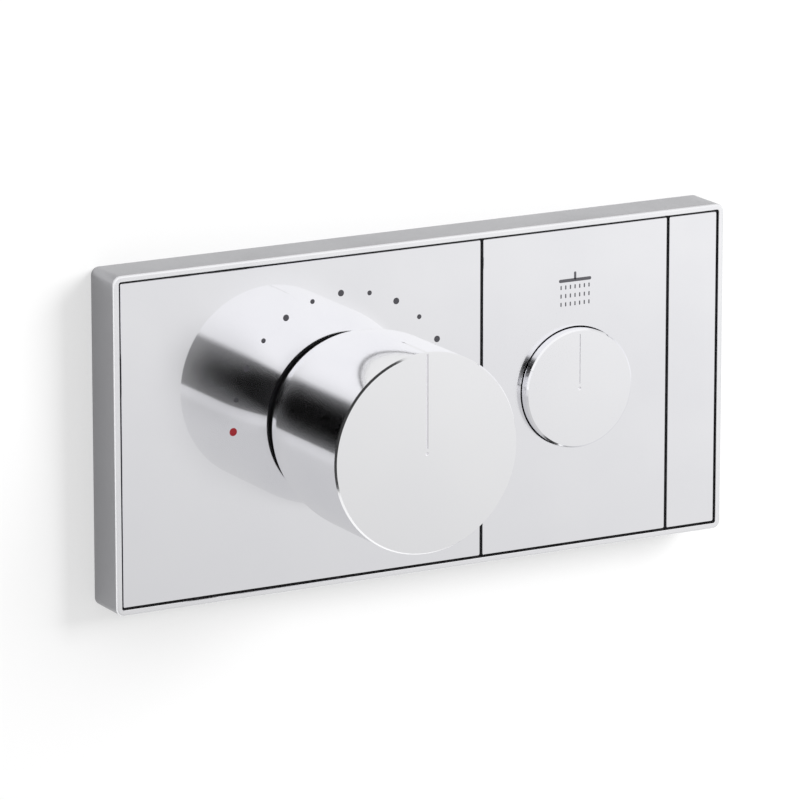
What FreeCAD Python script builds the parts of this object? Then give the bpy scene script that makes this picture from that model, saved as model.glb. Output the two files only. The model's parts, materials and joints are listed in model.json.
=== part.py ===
import FreeCAD, Part
import math
import os

# A concealed thermostatic shower control: a framed wall panel with three plates, a large
# temperature knob, a push-and-turn flow button, and the valve that sits in the wall behind it.
# Millimetres. The origin is the middle of the panel on the wall's surface.
# +X is right and +Z is up on the panel, +Y goes into the wall, and the front faces -Y.

V = FreeCAD.Vector
RIGHT = V(1, 0, 0)
INTO_WALL = V(0, 1, 0)
UP = V(0, 0, 1)
FULL_TURN = 360.0
HALF_TURN = 180.0

# Clearances shared by every fit
CUT_OVERRUN = 1.0
RUNNING_FIT = 0.05
SLIP_FIT = 0.10
SEAT_FIT = 0.15
SEAL_FIT = 0.02
MOVING_GAP = 0.30

# Panel frame
PANEL_WIDTH = 210.6
PANEL_HEIGHT = 104.0
PANEL_DEPTH = 15.0
PANEL_CORNER = 2.5
RIM_WIDTH = 1.8
RIM_BEVEL = 0.6
LEDGE_WIDTH = 2.5
LEDGE_THICK = 1.5

# Front plates, with the dark joints between them
PLATE_THICK = 2.0
PLATE_SETBACK = 0.45
PLATE_CORNER = 0.5
PLATE_GROOVE = 0.65
PLATE_GAP = 1.0
LEFT_JOINT_SHARE = 0.0928
RIGHT_JOINT_SHARE = 0.4060

# Plate carrier and its push-fit studs
CARRIER_THICK = 3.0
CARRIER_WALL = 2.5
CARRIER_RIB = 1.6
CARRIER_RIB_DEPTH = 2.8
CARRIER_COLLAR = 2.0
GASKET_THICK = 2.5
GASKET_WIDTH = 4.0
STUD_RADIUS = 2.0
STUD_HEAD_RADIUS = 3.2
STUD_HEAD_THICK = 1.2
STUD_REACH = 5.0
STUD_INSET = 12.0
STUD_RING_SECTION = 0.5
BOSS_WALL = 2.0

# Mounting bracket with its pillars and screws
BRACKET_THICK = 1.5
BRACKET_STANDOFF = 3.0
BRACKET_MARGIN = 9.0
BRACKET_CORNER = 6.0
BRACKET_LIP = 2.0
PILLAR_INSET = 7.0
PILLAR_FLATS = 8.0
PILLAR_FOOT_RADIUS = 2.5
SCREW_RADIUS = 2.0
SCREW_REACH = 9.0
SCREW_HEAD_RADIUS = 3.5
SCREW_HEAD_THICK = 2.0
SCREW_SLOT = 0.9

# Temperature knob
KNOB_PLACE_SHARE = -0.1306
KNOB_RADIUS = 30.7
KNOB_REAR_RADIUS = 26.25
KNOB_DRAW_LENGTH = 19.6
KNOB_REACH = 50.0
KNOB_STANDOFF = 1.45
KNOB_WALL = 2.4
KNOB_FACE_THICK = 3.0
KNOB_FACE_BEVEL = 0.6
KNOB_HOLE_GAP = 0.8
KNOB_LINE_WIDTH = 0.7
MARK_DEPTH = 0.3
MARK_DOT_RADIUS = 0.5
MARK_DOT_OFFSET = 1.6
HUB_WALL = 2.4
HUB_COLLAR_INSET = 1.1
HUB_BOSS_RADIUS = 9.5
HUB_WEB = 3.0
HUB_RIB = 2.0
HUB_RIB_COUNT = 6
HUB_TAIL = 4.3
SET_SCREW_RADIUS = 2.0
SET_SCREW_FROM_REAR = 13.2

# Stops for the knob's half turn
KNOB_SWING = 90.0
STOP_SLACK = 1.5
STOP_LUG_HALF_ANGLE = 15.0
STOP_RING_WALL = 4.5
STOP_RING_THICK = 4.0
STOP_LUG_WIDTH = 3.5
STOP_DISC_THICK = 4.0

# Flow button
BUTTON_PLACE_SHARE = 0.2481
BUTTON_RADIUS = 18.7
BUTTON_HOLE_GAP = 0.25
BUTTON_PROUD = 2.9
BUTTON_TRAVEL = 3.0
BUTTON_FACE_THICK = 2.2
BUTTON_WALL = 2.3
BUTTON_SKIRT = 10.5
BUTTON_BEVEL = 0.5
BUTTON_LINE_WIDTH = 0.35
BUTTON_LINE_LENGTH = 15.5
BUTTON_BOSS_RADIUS = 4.6
BUTTON_BOSS_DEPTH = 3.0
STEM_RADIUS = 2.9
KEY_WIDTH = 4.0
KEY_HEIGHT = 0.8
SLEEVE_DISC_THICK = 2.0
SLEEVE_TUBE_WALL = 2.0
SLEEVE_TUBE_DEPTH = 4.0

# Valve body in the wall
MOUTH_DEPTH = 4.0
THERMO_BORE = 17.0
THERMO_WALL = 5.0
THERMO_DEPTH = 58.0
FLOW_BORE = 14.5
FLOW_WALL = 4.5
CHAMBER_FLOOR = 4.0
FLANGE_DEPTH = 14.0
FLANGE_THICK = 6.0
FLANGE_OVERHANG = 36.2
FLANGE_HEIGHT = 64.0
FLANGE_CORNER = 8.0
FIXING_SPREAD_X = 28.0
FIXING_INSET = 7.0
FIXING_RADIUS = 2.6
PORT_RADIUS = 9.3
PORT_DEPTH = 15.0
PORT_OUTER = 13.5
PORT_FLATS = 30.0
PORT_HEX_LENGTH = 12.0
PORT_LENGTH = 26.0
PORT_SEAT_RADIUS = 8.0
PORT_SEAT_DEPTH = 9.5
PORT_THROAT_RADIUS = 5.0
OUTLET_THROAT_RADIUS = 7.0
HOT_DEPTH = 28.0
COLD_DEPTH = 43.0
OUTLET_DEPTH = 36.5
PASSAGE_DEPTH = 56.0
PASSAGE_RADIUS = 5.0
PASSAGE_WALL = 4.5
PASSAGE_END = 6.0
PLUG_RADIUS = 7.0
PLUG_SHANK = 9.0
PLUG_FLATS = 19.0
PLUG_HEAD = 5.0
FILTER_THICK = 2.0
FILTER_RIM = 1.4
CHECK_WALL = 1.4
CHECK_STEM_RADIUS = 1.5
CHECK_GUIDE = 1.6

# Cartridges and the nuts that hold them
COLLAR_THICK = 2.5
NUT_CAP = 2.5
NUT_SKIRT = 8.0
THERMO_NUT_FLATS = 48.0
FLOW_NUT_FLATS = 42.0
NUT_CHAMFER = 1.2
SEAL_SECTION = 0.9
THERMO_NOSE_RADIUS = 10.5
THERMO_NOSE_LENGTH = 7.5
THERMO_CORE = 14.0
THERMO_LENGTH = 48.0
THERMO_CAVITY_FRONT = 10.0
CARTRIDGE_END_WALL = 4.0
WINDOW_LENGTH = 8.0
WINDOW_WIDTH = 7.0
WINDOW_COUNT = 6
OUTLET_HOLE_RADIUS = 2.5
SEAL_FRONT_DEPTH = 10.0
SEAL_MIDDLE_DEPTH = 35.5
SEAL_BACK_INSET = 2.2
SPINDLE_RADIUS = 6.0
SPINDLE_NECK_RADIUS = 5.0
SPINDLE_COLLAR_RADIUS = 8.4
SPINDLE_COLLAR_THICK = 2.6
SPINDLE_TAIL = 2.0
CLIP_RADIUS = 8.0
CLIP_THICK = 1.0
FLOW_NOSE_RADIUS = 9.0
FLOW_NOSE_LENGTH = 5.5
FLOW_LENGTH = 42.0
FLOW_CAVITY = 8.0
DISC_RADIUS = 10.0
DISC_THICK = 3.0
DISC_FRONT_DEPTH = 21.0
DISC_HOLE_RADIUS = 1.8
DISC_HOLE_COUNT = 4
DRIVER_THICK = 2.7
POPPET_RADIUS = 6.5
POPPET_THICK = 2.5
POPPET_LAP = 1.5

# Regulator that mixes hot and cold
PISTON_FRONT_DEPTH = 30.0
PISTON_LENGTH = 10.0
PISTON_WALL = 2.0
PISTON_WEB = 3.0
PISTON_HUB_WALL = 2.0
REGULATOR_TRAVEL = 1.0
WAX_RADIUS = 4.5
WAX_COLLAR_RADIUS = 6.5
WAX_COLLAR_THICK = 2.0
WAX_TIP_RADIUS = 2.0
WAX_TIP_LENGTH = 2.8
WAX_LENGTH = 30.5

# Springs
THERMO_SPRING_RADIUS = 11.0
THERMO_SPRING_WIRE = 0.8
THERMO_SPRING_TURNS = 2
BUTTON_SPRING_RADIUS = 11.0
BUTTON_SPRING_WIRE = 0.6
BUTTON_SPRING_TURNS = 4

# Places along X that the pieces share
KNOB_X = PANEL_WIDTH * KNOB_PLACE_SHARE
BUTTON_X = PANEL_WIDTH * BUTTON_PLACE_SHARE
LEFT_JOINT_X = PANEL_WIDTH * LEFT_JOINT_SHARE
RIGHT_JOINT_X = PANEL_WIDTH * RIGHT_JOINT_SHARE
BODY_MIDDLE_X = (KNOB_X + BUTTON_X) / 2

# Levels along Y that the pieces share
PANEL_FRONT = -PANEL_DEPTH
PLATE_FRONT = PANEL_FRONT + PLATE_SETBACK
PLATE_BACK = PLATE_FRONT + PLATE_THICK
CARRIER_BACK = PLATE_BACK + CARRIER_THICK
BRACKET_BACK = -BRACKET_STANDOFF
BRACKET_FRONT = BRACKET_BACK - BRACKET_THICK
COLLAR_FRONT = MOUTH_DEPTH - COLLAR_THICK
NUT_FRONT = COLLAR_FRONT - NUT_CAP
NUT_BACK = MOUTH_DEPTH + NUT_SKIRT
THERMO_NOSE_FRONT = COLLAR_FRONT - THERMO_NOSE_LENGTH
THERMO_CARTRIDGE_BACK = MOUTH_DEPTH + THERMO_LENGTH
THERMO_CAVITY_BACK = THERMO_CARTRIDGE_BACK - CARTRIDGE_END_WALL
FLOW_NOSE_FRONT = COLLAR_FRONT - FLOW_NOSE_LENGTH
FLOW_CARTRIDGE_BACK = MOUTH_DEPTH + FLOW_LENGTH
FLOW_CAVITY_BACK = FLOW_CARTRIDGE_BACK - CARTRIDGE_END_WALL
KNOB_FRONT = PANEL_FRONT - KNOB_REACH
KNOB_REAR = PLATE_FRONT - KNOB_STANDOFF
KNOB_INSIDE = KNOB_FRONT + KNOB_FACE_THICK
HUB_FRONT = KNOB_INSIDE + SLIP_FIT
HUB_TAIL_END = PLATE_FRONT + HUB_TAIL
CLIP_FRONT = THERMO_NOSE_FRONT - SLIP_FIT - CLIP_THICK
HUB_BACK = CLIP_FRONT - SLIP_FIT
STOP_BACK = NUT_FRONT - SLIP_FIT
STOP_FRONT = STOP_BACK - STOP_RING_THICK
SPINDLE_FRONT = KNOB_REAR - 2 * SET_SCREW_FROM_REAR
BUTTON_FRONT = PANEL_FRONT - BUTTON_PROUD
BUTTON_INSIDE = BUTTON_FRONT + BUTTON_FACE_THICK
BUTTON_REAR = BUTTON_INSIDE + BUTTON_SKIRT
FLOW_CLIP_FRONT = FLOW_NOSE_FRONT - SLIP_FIT - CLIP_THICK
SLEEVE_BACK = FLOW_CLIP_FRONT - SLIP_FIT
SLEEVE_DISC_FRONT = SLEEVE_BACK - SLEEVE_DISC_THICK
SLEEVE_FRONT = SLEEVE_DISC_FRONT - SLEEVE_TUBE_DEPTH
FLOW_SPINDLE_FRONT = BUTTON_INSIDE + BUTTON_BOSS_DEPTH + BUTTON_TRAVEL + MOVING_GAP
POPPET_DEPTH = FLOW_CAVITY_BACK - POPPET_THICK - BUTTON_TRAVEL - MOVING_GAP

# Sizes that follow from their neighbours
KNOB_DRAW = KNOB_RADIUS - KNOB_REAR_RADIUS
KNOB_DRAW_ARC = (KNOB_DRAW_LENGTH * KNOB_DRAW_LENGTH + KNOB_DRAW * KNOB_DRAW) / (2 * KNOB_DRAW)
HUB_COLLAR_RADIUS = KNOB_REAR_RADIUS - HUB_COLLAR_INSET
KNOB_HOLE_RADIUS = HUB_COLLAR_RADIUS + KNOB_HOLE_GAP
BUTTON_HOLE_RADIUS = BUTTON_RADIUS + BUTTON_HOLE_GAP
THERMO_OUTER = THERMO_BORE + THERMO_WALL
FLOW_OUTER = FLOW_BORE + FLOW_WALL
INNER_WIDTH = PANEL_WIDTH - 2 * RIM_WIDTH
INNER_HEIGHT = PANEL_HEIGHT - 2 * RIM_WIDTH
FLANGE_WIDTH = BUTTON_X - KNOB_X + 2 * FLANGE_OVERHANG
PILLAR_SPREAD_X = FLANGE_WIDTH - 2 * PILLAR_INSET
PILLAR_SPREAD_Z = FLANGE_HEIGHT - 2 * PILLAR_INSET
FIXING_SPREAD_Z = FLANGE_HEIGHT - 2 * FIXING_INSET


def rod(x, z, radius, y_front, y_back):
    """A cylinder along Y."""
    return Part.makeCylinder(radius, y_back - y_front, V(x, y_front, z), INTO_WALL)


def hole(x, z, radius, y_front, y_back):
    """A cylinder along Y that runs past both ends, for cutting."""
    return rod(x, z, radius, y_front - CUT_OVERRUN, y_back + CUT_OVERRUN)


def bar(start, direction, radius, length):
    """A cylinder from a point along any direction."""
    return Part.makeCylinder(radius, length, start, direction)


def slab(width, height, corner, y_front, y_back, x_middle=0.0):
    """A block on the panel's middle line with its four long edges rounded."""
    corner_point = V(x_middle - width / 2, y_front, -height / 2)
    block = Part.makeBox(width, y_back - y_front, height, corner_point)
    long_edges = [e for e in block.Edges if abs(e.tangentAt(e.FirstParameter).y) > math.cos(math.pi / 4)]
    return block.makeFillet(corner, long_edges)


def block(x_low, x_high, y_front, y_back, z_low, z_high):
    """A plain box between six planes."""
    return Part.makeBox(x_high - x_low, y_back - y_front, z_high - z_low, V(x_low, y_front, z_low))


def prism(start, direction, flats, length):
    """A hexagonal prism along a direction, measured across its flats."""
    corner_radius = flats / math.sqrt(3)
    side = RIGHT if abs(direction.dot(RIGHT)) < math.cos(math.pi / 4) else UP
    other = direction.cross(side)
    turns = [math.pi * step / 3 for step in range(7)]
    rays = [side * math.cos(a) + other * math.sin(a) for a in turns]
    points = [start + ray * corner_radius for ray in rays]
    return Part.Face(Part.makePolygon(points)).extrude(direction * length)


def turned(x, start, *steps):
    """A solid of revolution about the Y line at x.

    The outline is in (radius, y) points. A step of two points is an arc through the first to the second.
    """
    def place(point):
        return V(x + point[0], point[1], 0)

    edges = []
    here = start
    for step in steps + (start,):
        if isinstance(step[0], tuple):
            edges.append(Part.Arc(place(here), place(step[0]), place(step[1])).toShape())
            here = step[1]
        else:
            edges.append(Part.LineSegment(place(here), place(step)).toShape())
            here = step
    return Part.Face(Part.Wire(edges)).revolve(V(x, 0, 0), INTO_WALL, FULL_TURN)


def sector(x, inner, outer, y_front, y_back, middle_angle, half_angle):
    """Part of a ring about the Y line at x; angles run clockwise from the top as seen from the front."""
    ring = rod(x, 0, outer, y_front, y_back).cut(hole(x, 0, inner, y_front, y_back))
    first = math.radians(middle_angle - half_angle)
    radius = outer + CUT_OVERRUN
    corner_point = V(x + radius * math.sin(first), y_front, radius * math.cos(first))
    edge = Part.LineSegment(V(x, y_front, 0), corner_point).toShape()
    depth = V(0, y_back - y_front, 0)
    wedge = edge.extrude(depth).revolve(V(x, 0, 0), INTO_WALL, 2 * half_angle)
    return ring.common(wedge)


def around(shape, x, count):
    """Copies of a shape turned evenly about the Y line at x."""
    copies = []
    for index in range(count):
        copy = shape.copy()
        copy.rotate(V(x, 0, 0), INTO_WALL, FULL_TURN * index / count)
        copies.append(copy)
    return copies


def at_corners(x_middle, spread_x, spread_z):
    """The four corners of a rectangle on the panel, as (x, z)."""
    return [(x_middle + sx * spread_x / 2, sz * spread_z / 2) for sx in (-1, 1) for sz in (-1, 1)]


def seal_ring(x, y, bore):
    """An O-ring about the Y line at x that fills its groove up to a bore."""
    section = SEAL_SECTION - SEAL_FIT
    return Part.makeTorus(bore - SEAL_SECTION, section, V(x, y, 0), INTO_WALL)


def seal_groove(x, y, bore):
    """The square groove that an O-ring sits in."""
    floor = bore - 2 * SEAL_SECTION
    front = y - SEAL_SECTION
    back = y + SEAL_SECTION
    outside = rod(x, 0, bore + CUT_OVERRUN, front, back)
    return outside.cut(hole(x, 0, floor, front, back))


def coil(x, radius, wire, y_front, y_back, turns):
    """A round-wire spring along Y, one tube swept on pairs of arcs, a quarter turn for each pair."""
    first = y_front + wire + SLIP_FIT
    last = y_back - wire - SLIP_FIT
    quarters = 4 * turns
    rise = (last - first) / (2 * math.pi * turns)
    run = math.hypot(radius, rise)

    def station(index):
        angle = math.pi * index / 2
        point = V(x + radius * math.cos(angle), first + rise * angle, radius * math.sin(angle))
        tangent = V(-radius * math.sin(angle) / run, rise / run, radius * math.cos(angle) / run)
        return point, tangent

    def arc(start, tangent, end):
        chord = end - start
        along = V(chord).normalize()
        across = tangent - along * tangent.dot(along)
        half_bend = math.atan2(across.Length, tangent.dot(along)) / 2
        middle = start + chord * 0.5 + across.normalize() * (chord.Length / 2 * math.tan(half_bend))
        return Part.Arc(start, middle, end).toShape()

    edges = []
    for index in range(quarters):
        start, leave = station(index)
        end, arrive = station(index + 1)
        gap = end - start
        spread = 1 - leave.dot(arrive)
        lean = gap.dot(leave + arrive)
        reach = (math.sqrt(lean * lean + 2 * spread * gap.dot(gap)) - lean) / (2 * spread)
        join = (start + end + (leave - arrive) * reach) * 0.5
        edges.append(arc(start, leave, join))
        edges.append(arc(end, arrive * -1, join))
    start, leave = station(0)
    section = Part.Wire(Part.Circle(start, leave, wire).toShape())
    tube = Part.Wire(Part.sortEdges(edges)[0]).makePipeShell([section], True, False)
    return tube


def panel_frame():
    """The bezel: a deep rectangular ring with a bevelled rim and a ledge inside for the carrier."""
    outer = slab(PANEL_WIDTH, PANEL_HEIGHT, PANEL_CORNER, PANEL_FRONT, 0)
    front_edges = [e for e in outer.Edges if max(v.Y for v in e.Vertexes) < PANEL_FRONT + RIM_BEVEL]
    outer = outer.makeChamfer(RIM_BEVEL, front_edges)
    inner_corner = PANEL_CORNER - RIM_WIDTH
    inside = slab(INNER_WIDTH, INNER_HEIGHT, inner_corner, PANEL_FRONT - CUT_OVERRUN, CUT_OVERRUN)
    ledge = slab(INNER_WIDTH, INNER_HEIGHT, inner_corner, CARRIER_BACK, CARRIER_BACK + LEDGE_THICK)
    opening = slab(
        INNER_WIDTH - 2 * LEDGE_WIDTH,
        INNER_HEIGHT - 2 * LEDGE_WIDTH,
        inner_corner,
        CARRIER_BACK - CUT_OVERRUN,
        CARRIER_BACK + LEDGE_THICK + CUT_OVERRUN,
    )
    return outer.cut(inside).fuse(ledge.cut(opening)).removeSplitter()


def front_plate(x_left, x_right):
    """One plate of the front, between two upright edges."""
    height = INNER_HEIGHT - 2 * PLATE_GROOVE
    return slab(x_right - x_left, height, PLATE_CORNER, PLATE_FRONT, PLATE_BACK, (x_left + x_right) / 2)


def front_plates():
    """The temperature plate, the outlet plate and the blank end plate."""
    edge = INNER_WIDTH / 2 - PLATE_GROOVE
    half_gap = PLATE_GAP / 2
    temperature = front_plate(-edge, LEFT_JOINT_X - half_gap)
    temperature = temperature.cut(hole(KNOB_X, 0, KNOB_HOLE_RADIUS, PLATE_FRONT, PLATE_BACK))
    outlet = front_plate(LEFT_JOINT_X + half_gap, RIGHT_JOINT_X - half_gap)
    outlet = outlet.cut(hole(BUTTON_X, 0, BUTTON_HOLE_RADIUS, PLATE_FRONT, PLATE_BACK))
    end = front_plate(RIGHT_JOINT_X + half_gap, edge)
    return {"temperature_plate": temperature, "outlet_plate": outlet, "end_plate": end}


def stud_places():
    """Where the push-fit studs stand, near the panel's corners."""
    spread_x = INNER_WIDTH - 2 * LEDGE_WIDTH - 2 * STUD_INSET
    spread_z = INNER_HEIGHT - 2 * LEDGE_WIDTH - 2 * STUD_INSET
    return at_corners(0, spread_x, spread_z)


def stud_bore():
    """The radius of the carrier's stud sockets, which the stud rings fill."""
    return STUD_RADIUS + 2 * STUD_RING_SECTION


def plate_carrier():
    """The black tray behind the plates: slab, skirt, ribs, collars round its openings and stud sockets."""
    width = INNER_WIDTH - 2 * SEAT_FIT
    height = INNER_HEIGHT - 2 * SEAT_FIT
    tray = slab(width, height, PLATE_CORNER, PLATE_BACK, CARRIER_BACK)
    skirt_width = INNER_WIDTH - 2 * LEDGE_WIDTH - 2 * SEAT_FIT
    skirt_height = INNER_HEIGHT - 2 * LEDGE_WIDTH - 2 * SEAT_FIT
    skirt_end = -GASKET_THICK
    skirt = slab(skirt_width, skirt_height, PLATE_CORNER, CARRIER_BACK, skirt_end)
    skirt_width -= 2 * CARRIER_WALL
    skirt_height -= 2 * CARRIER_WALL
    skirt = skirt.cut(slab(skirt_width, skirt_height, PLATE_CORNER, PLATE_BACK, skirt_end + CUT_OVERRUN))
    tray = tray.fuse(skirt)
    rib_end = CARRIER_BACK + CARRIER_RIB_DEPTH
    half_rib = CARRIER_RIB / 2
    half_width = skirt_width / 2
    half_height = skirt_height / 2
    for x in (LEFT_JOINT_X, RIGHT_JOINT_X):
        rib = block(x - half_rib, x + half_rib, CARRIER_BACK, rib_end, -half_height, half_height)
        tray = tray.fuse(rib)
    for z in (-half_height / 2, half_height / 2):
        rib = block(-half_width, half_width, CARRIER_BACK, rib_end, z - half_rib, z + half_rib)
        tray = tray.fuse(rib)
    for x, radius in carrier_openings():
        tray = tray.fuse(rod(x, 0, radius + CARRIER_COLLAR, CARRIER_BACK, rib_end))
    for x, z in stud_places():
        tray = tray.fuse(rod(x, z, stud_bore() + BOSS_WALL, CARRIER_BACK, BRACKET_FRONT - SLIP_FIT))
    for x, radius in carrier_openings():
        tray = tray.cut(hole(x, 0, radius, PLATE_BACK, rib_end))
    for x, z in stud_places():
        tray = tray.cut(rod(x, z, stud_bore(), BRACKET_FRONT - STUD_REACH - SLIP_FIT, BRACKET_FRONT))
    return tray.removeSplitter()


def carrier_openings():
    """The carrier's two round openings, each a little larger than the plate's hole in front of it."""
    return [(KNOB_X, KNOB_HOLE_RADIUS + RIM_BEVEL), (BUTTON_X, BUTTON_HOLE_RADIUS + RIM_BEVEL)]


def wall_gasket():
    """The foam ring between the carrier's skirt and the wall."""
    width = INNER_WIDTH - 2 * LEDGE_WIDTH - 2 * SEAT_FIT
    height = INNER_HEIGHT - 2 * LEDGE_WIDTH - 2 * SEAT_FIT
    outer = slab(width, height, PLATE_CORNER, -GASKET_THICK, 0)
    inner_width = width - 2 * GASKET_WIDTH
    inner_height = height - 2 * GASKET_WIDTH
    return outer.cut(slab(inner_width, inner_height, PLATE_CORNER, -GASKET_THICK - CUT_OVERRUN, CUT_OVERRUN))


def mounting_bracket():
    """The steel plate that carries the panel, with turned lips on its long edges."""
    margin = 2 * (LEDGE_WIDTH + CARRIER_WALL + BRACKET_MARGIN)
    width = INNER_WIDTH - margin + BRACKET_MARGIN
    height = INNER_HEIGHT - margin + BRACKET_MARGIN
    plate = slab(width, height, BRACKET_CORNER, BRACKET_FRONT, BRACKET_BACK)
    straight = width / 2 - BRACKET_CORNER
    for side in (-1, 1):
        edge = side * (height - BRACKET_THICK) / 2
        z_low = edge - BRACKET_THICK / 2
        z_high = z_low + BRACKET_THICK
        lip = block(-straight, straight, BRACKET_BACK, BRACKET_BACK + BRACKET_LIP, z_low, z_high)
        plate = plate.fuse(lip)
    nut_room = THERMO_OUTER + NUT_CAP + CHAMBER_FLOOR
    plate = plate.cut(hole(KNOB_X, 0, nut_room, BRACKET_FRONT, BRACKET_BACK))
    plate = plate.cut(hole(BUTTON_X, 0, FLOW_OUTER + CHAMBER_FLOOR, BRACKET_FRONT, BRACKET_BACK))
    for x, z in at_corners(BODY_MIDDLE_X, PILLAR_SPREAD_X, PILLAR_SPREAD_Z):
        plate = plate.cut(hole(x, z, SCREW_RADIUS + SEAT_FIT, BRACKET_FRONT, BRACKET_BACK))
    for x, z in stud_places():
        plate = plate.cut(hole(x, z, STUD_RADIUS + RUNNING_FIT, BRACKET_FRONT, BRACKET_BACK))
    return plate.removeSplitter()


def retaining_studs():
    """Headed pins riveted in the bracket, which the carrier's sockets push onto."""
    studs = []
    for x, z in stud_places():
        pin = rod(x, z, STUD_RADIUS, BRACKET_FRONT - STUD_REACH, BRACKET_BACK)
        head = rod(x, z, STUD_HEAD_RADIUS, BRACKET_BACK, BRACKET_BACK + STUD_HEAD_THICK)
        studs.append(pin.fuse(head).removeSplitter())
    return studs


def stud_rings():
    """Rubber rings on the studs that grip the carrier's sockets."""
    middle = BRACKET_FRONT - STUD_REACH / 2
    section = STUD_RING_SECTION - SEAL_FIT
    ring_radius = STUD_RADIUS + STUD_RING_SECTION
    return [Part.makeTorus(ring_radius, section, V(x, middle, z), INTO_WALL) for x, z in stud_places()]


def bracket_pillars():
    """Hexagonal pillars that stand on the valve's flange and carry the bracket."""
    pillars = []
    for x, z in at_corners(BODY_MIDDLE_X, PILLAR_SPREAD_X, PILLAR_SPREAD_Z):
        post = prism(V(x, BRACKET_BACK, z), INTO_WALL, PILLAR_FLATS, FLANGE_DEPTH - BRACKET_BACK)
        foot = rod(x, z, PILLAR_FOOT_RADIUS, FLANGE_DEPTH, FLANGE_DEPTH + FLANGE_THICK)
        tapped = rod(x, z, SCREW_RADIUS, BRACKET_BACK - CUT_OVERRUN, BRACKET_FRONT + SCREW_REACH + SLIP_FIT)
        pillars.append(post.fuse(foot).cut(tapped).removeSplitter())
    return pillars


def bracket_screws():
    """Slotted pan-head screws that hold the bracket to its pillars."""
    screws = []
    head_front = BRACKET_FRONT - SCREW_HEAD_THICK
    for x, z in at_corners(BODY_MIDDLE_X, PILLAR_SPREAD_X, PILLAR_SPREAD_Z):
        shank = rod(x, z, SCREW_RADIUS - RUNNING_FIT, BRACKET_FRONT, BRACKET_FRONT + SCREW_REACH)
        head = rod(x, z, SCREW_HEAD_RADIUS, head_front, BRACKET_FRONT)
        slot_half = SCREW_SLOT / 2
        slot = block(
            x - SCREW_HEAD_RADIUS - CUT_OVERRUN,
            x + SCREW_HEAD_RADIUS + CUT_OVERRUN,
            head_front - CUT_OVERRUN,
            head_front + SCREW_HEAD_THICK / 2,
            z - slot_half,
            z + slot_half,
        )
        screws.append(head.fuse(shank).cut(slot).removeSplitter())
    return screws


def port_solid(middle, direction, chamber_radius):
    """The outside of a pipe connection: a round neck that ends in a hexagon."""
    length = chamber_radius + PORT_LENGTH
    neck = bar(middle, direction, PORT_OUTER, length)
    hexagon = prism(middle + direction * (length - PORT_HEX_LENGTH), direction, PORT_FLATS, PORT_HEX_LENGTH)
    return neck.fuse(hexagon)


def port_bore(middle, direction, chamber_radius, throat):
    """The inside of a pipe connection: thread bore, a narrower seat, then the throat into the chamber."""
    length = chamber_radius + PORT_LENGTH
    bore = bar(middle + direction * (length - PORT_DEPTH), direction, PORT_RADIUS, PORT_DEPTH + CUT_OVERRUN)
    seat_start = length - PORT_DEPTH - PORT_SEAT_DEPTH
    seat = bar(middle + direction * seat_start, direction, PORT_SEAT_RADIUS, PORT_SEAT_DEPTH)
    return bore.fuse(seat).fuse(bar(middle, direction, throat, seat_start + CUT_OVERRUN))


def pipe_ports():
    """The three pipe connections: axis point, direction, chamber radius and throat of each."""
    return {
        "hot": (V(KNOB_X, HOT_DEPTH, 0), -RIGHT, THERMO_OUTER, PORT_THROAT_RADIUS),
        "cold": (V(KNOB_X, COLD_DEPTH, 0), -UP, THERMO_OUTER, PORT_THROAT_RADIUS),
        "outlet": (V(BUTTON_X, OUTLET_DEPTH, 0), UP, FLOW_OUTER, OUTLET_THROAT_RADIUS),
    }


def plug_end_x():
    """The right-hand end of the cross passage, where its plug seats."""
    return BUTTON_X + FLOW_OUTER + PASSAGE_END


def valve_body():
    """The brass casting: two chambers, the flange between them, three ports and the cross passage."""
    thermo_back = MOUTH_DEPTH + THERMO_DEPTH
    flange_back = FLANGE_DEPTH + FLANGE_THICK
    flange = slab(FLANGE_WIDTH, FLANGE_HEIGHT, FLANGE_CORNER, FLANGE_DEPTH, flange_back, BODY_MIDDLE_X)
    body = flange
    for x, radius in ((KNOB_X, THERMO_OUTER), (BUTTON_X, FLOW_OUTER)):
        body = body.fuse(rod(x, 0, radius, MOUTH_DEPTH, thermo_back + CHAMBER_FLOOR))
    passage_start = V(KNOB_X, PASSAGE_DEPTH, 0)
    passage_length = plug_end_x() - KNOB_X
    body = body.fuse(bar(passage_start, RIGHT, PASSAGE_RADIUS + PASSAGE_WALL, passage_length))
    for middle, direction, chamber, throat in pipe_ports().values():
        body = body.fuse(port_solid(middle, direction, chamber))
    for x, radius in ((KNOB_X, THERMO_BORE), (BUTTON_X, FLOW_BORE)):
        body = body.cut(rod(x, 0, radius, MOUTH_DEPTH - CUT_OVERRUN, thermo_back))
    for middle, direction, chamber, throat in pipe_ports().values():
        body = body.cut(port_bore(middle, direction, chamber, throat))
    body = body.cut(bar(passage_start, RIGHT, PASSAGE_RADIUS, passage_length))
    plug_start = V(plug_end_x() - PLUG_SHANK - SLIP_FIT, PASSAGE_DEPTH, 0)
    body = body.cut(bar(plug_start, RIGHT, PLUG_RADIUS, PLUG_SHANK + SLIP_FIT + CUT_OVERRUN))
    flange_back = FLANGE_DEPTH + FLANGE_THICK
    for x, z in at_corners(BODY_MIDDLE_X, PILLAR_SPREAD_X, PILLAR_SPREAD_Z):
        body = body.cut(hole(x, z, PILLAR_FOOT_RADIUS + RUNNING_FIT, FLANGE_DEPTH, flange_back))
    for x, z in at_corners(BODY_MIDDLE_X, FIXING_SPREAD_X, FIXING_SPREAD_Z):
        body = body.cut(hole(x, z, FIXING_RADIUS, FLANGE_DEPTH, flange_back))
    return body


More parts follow.
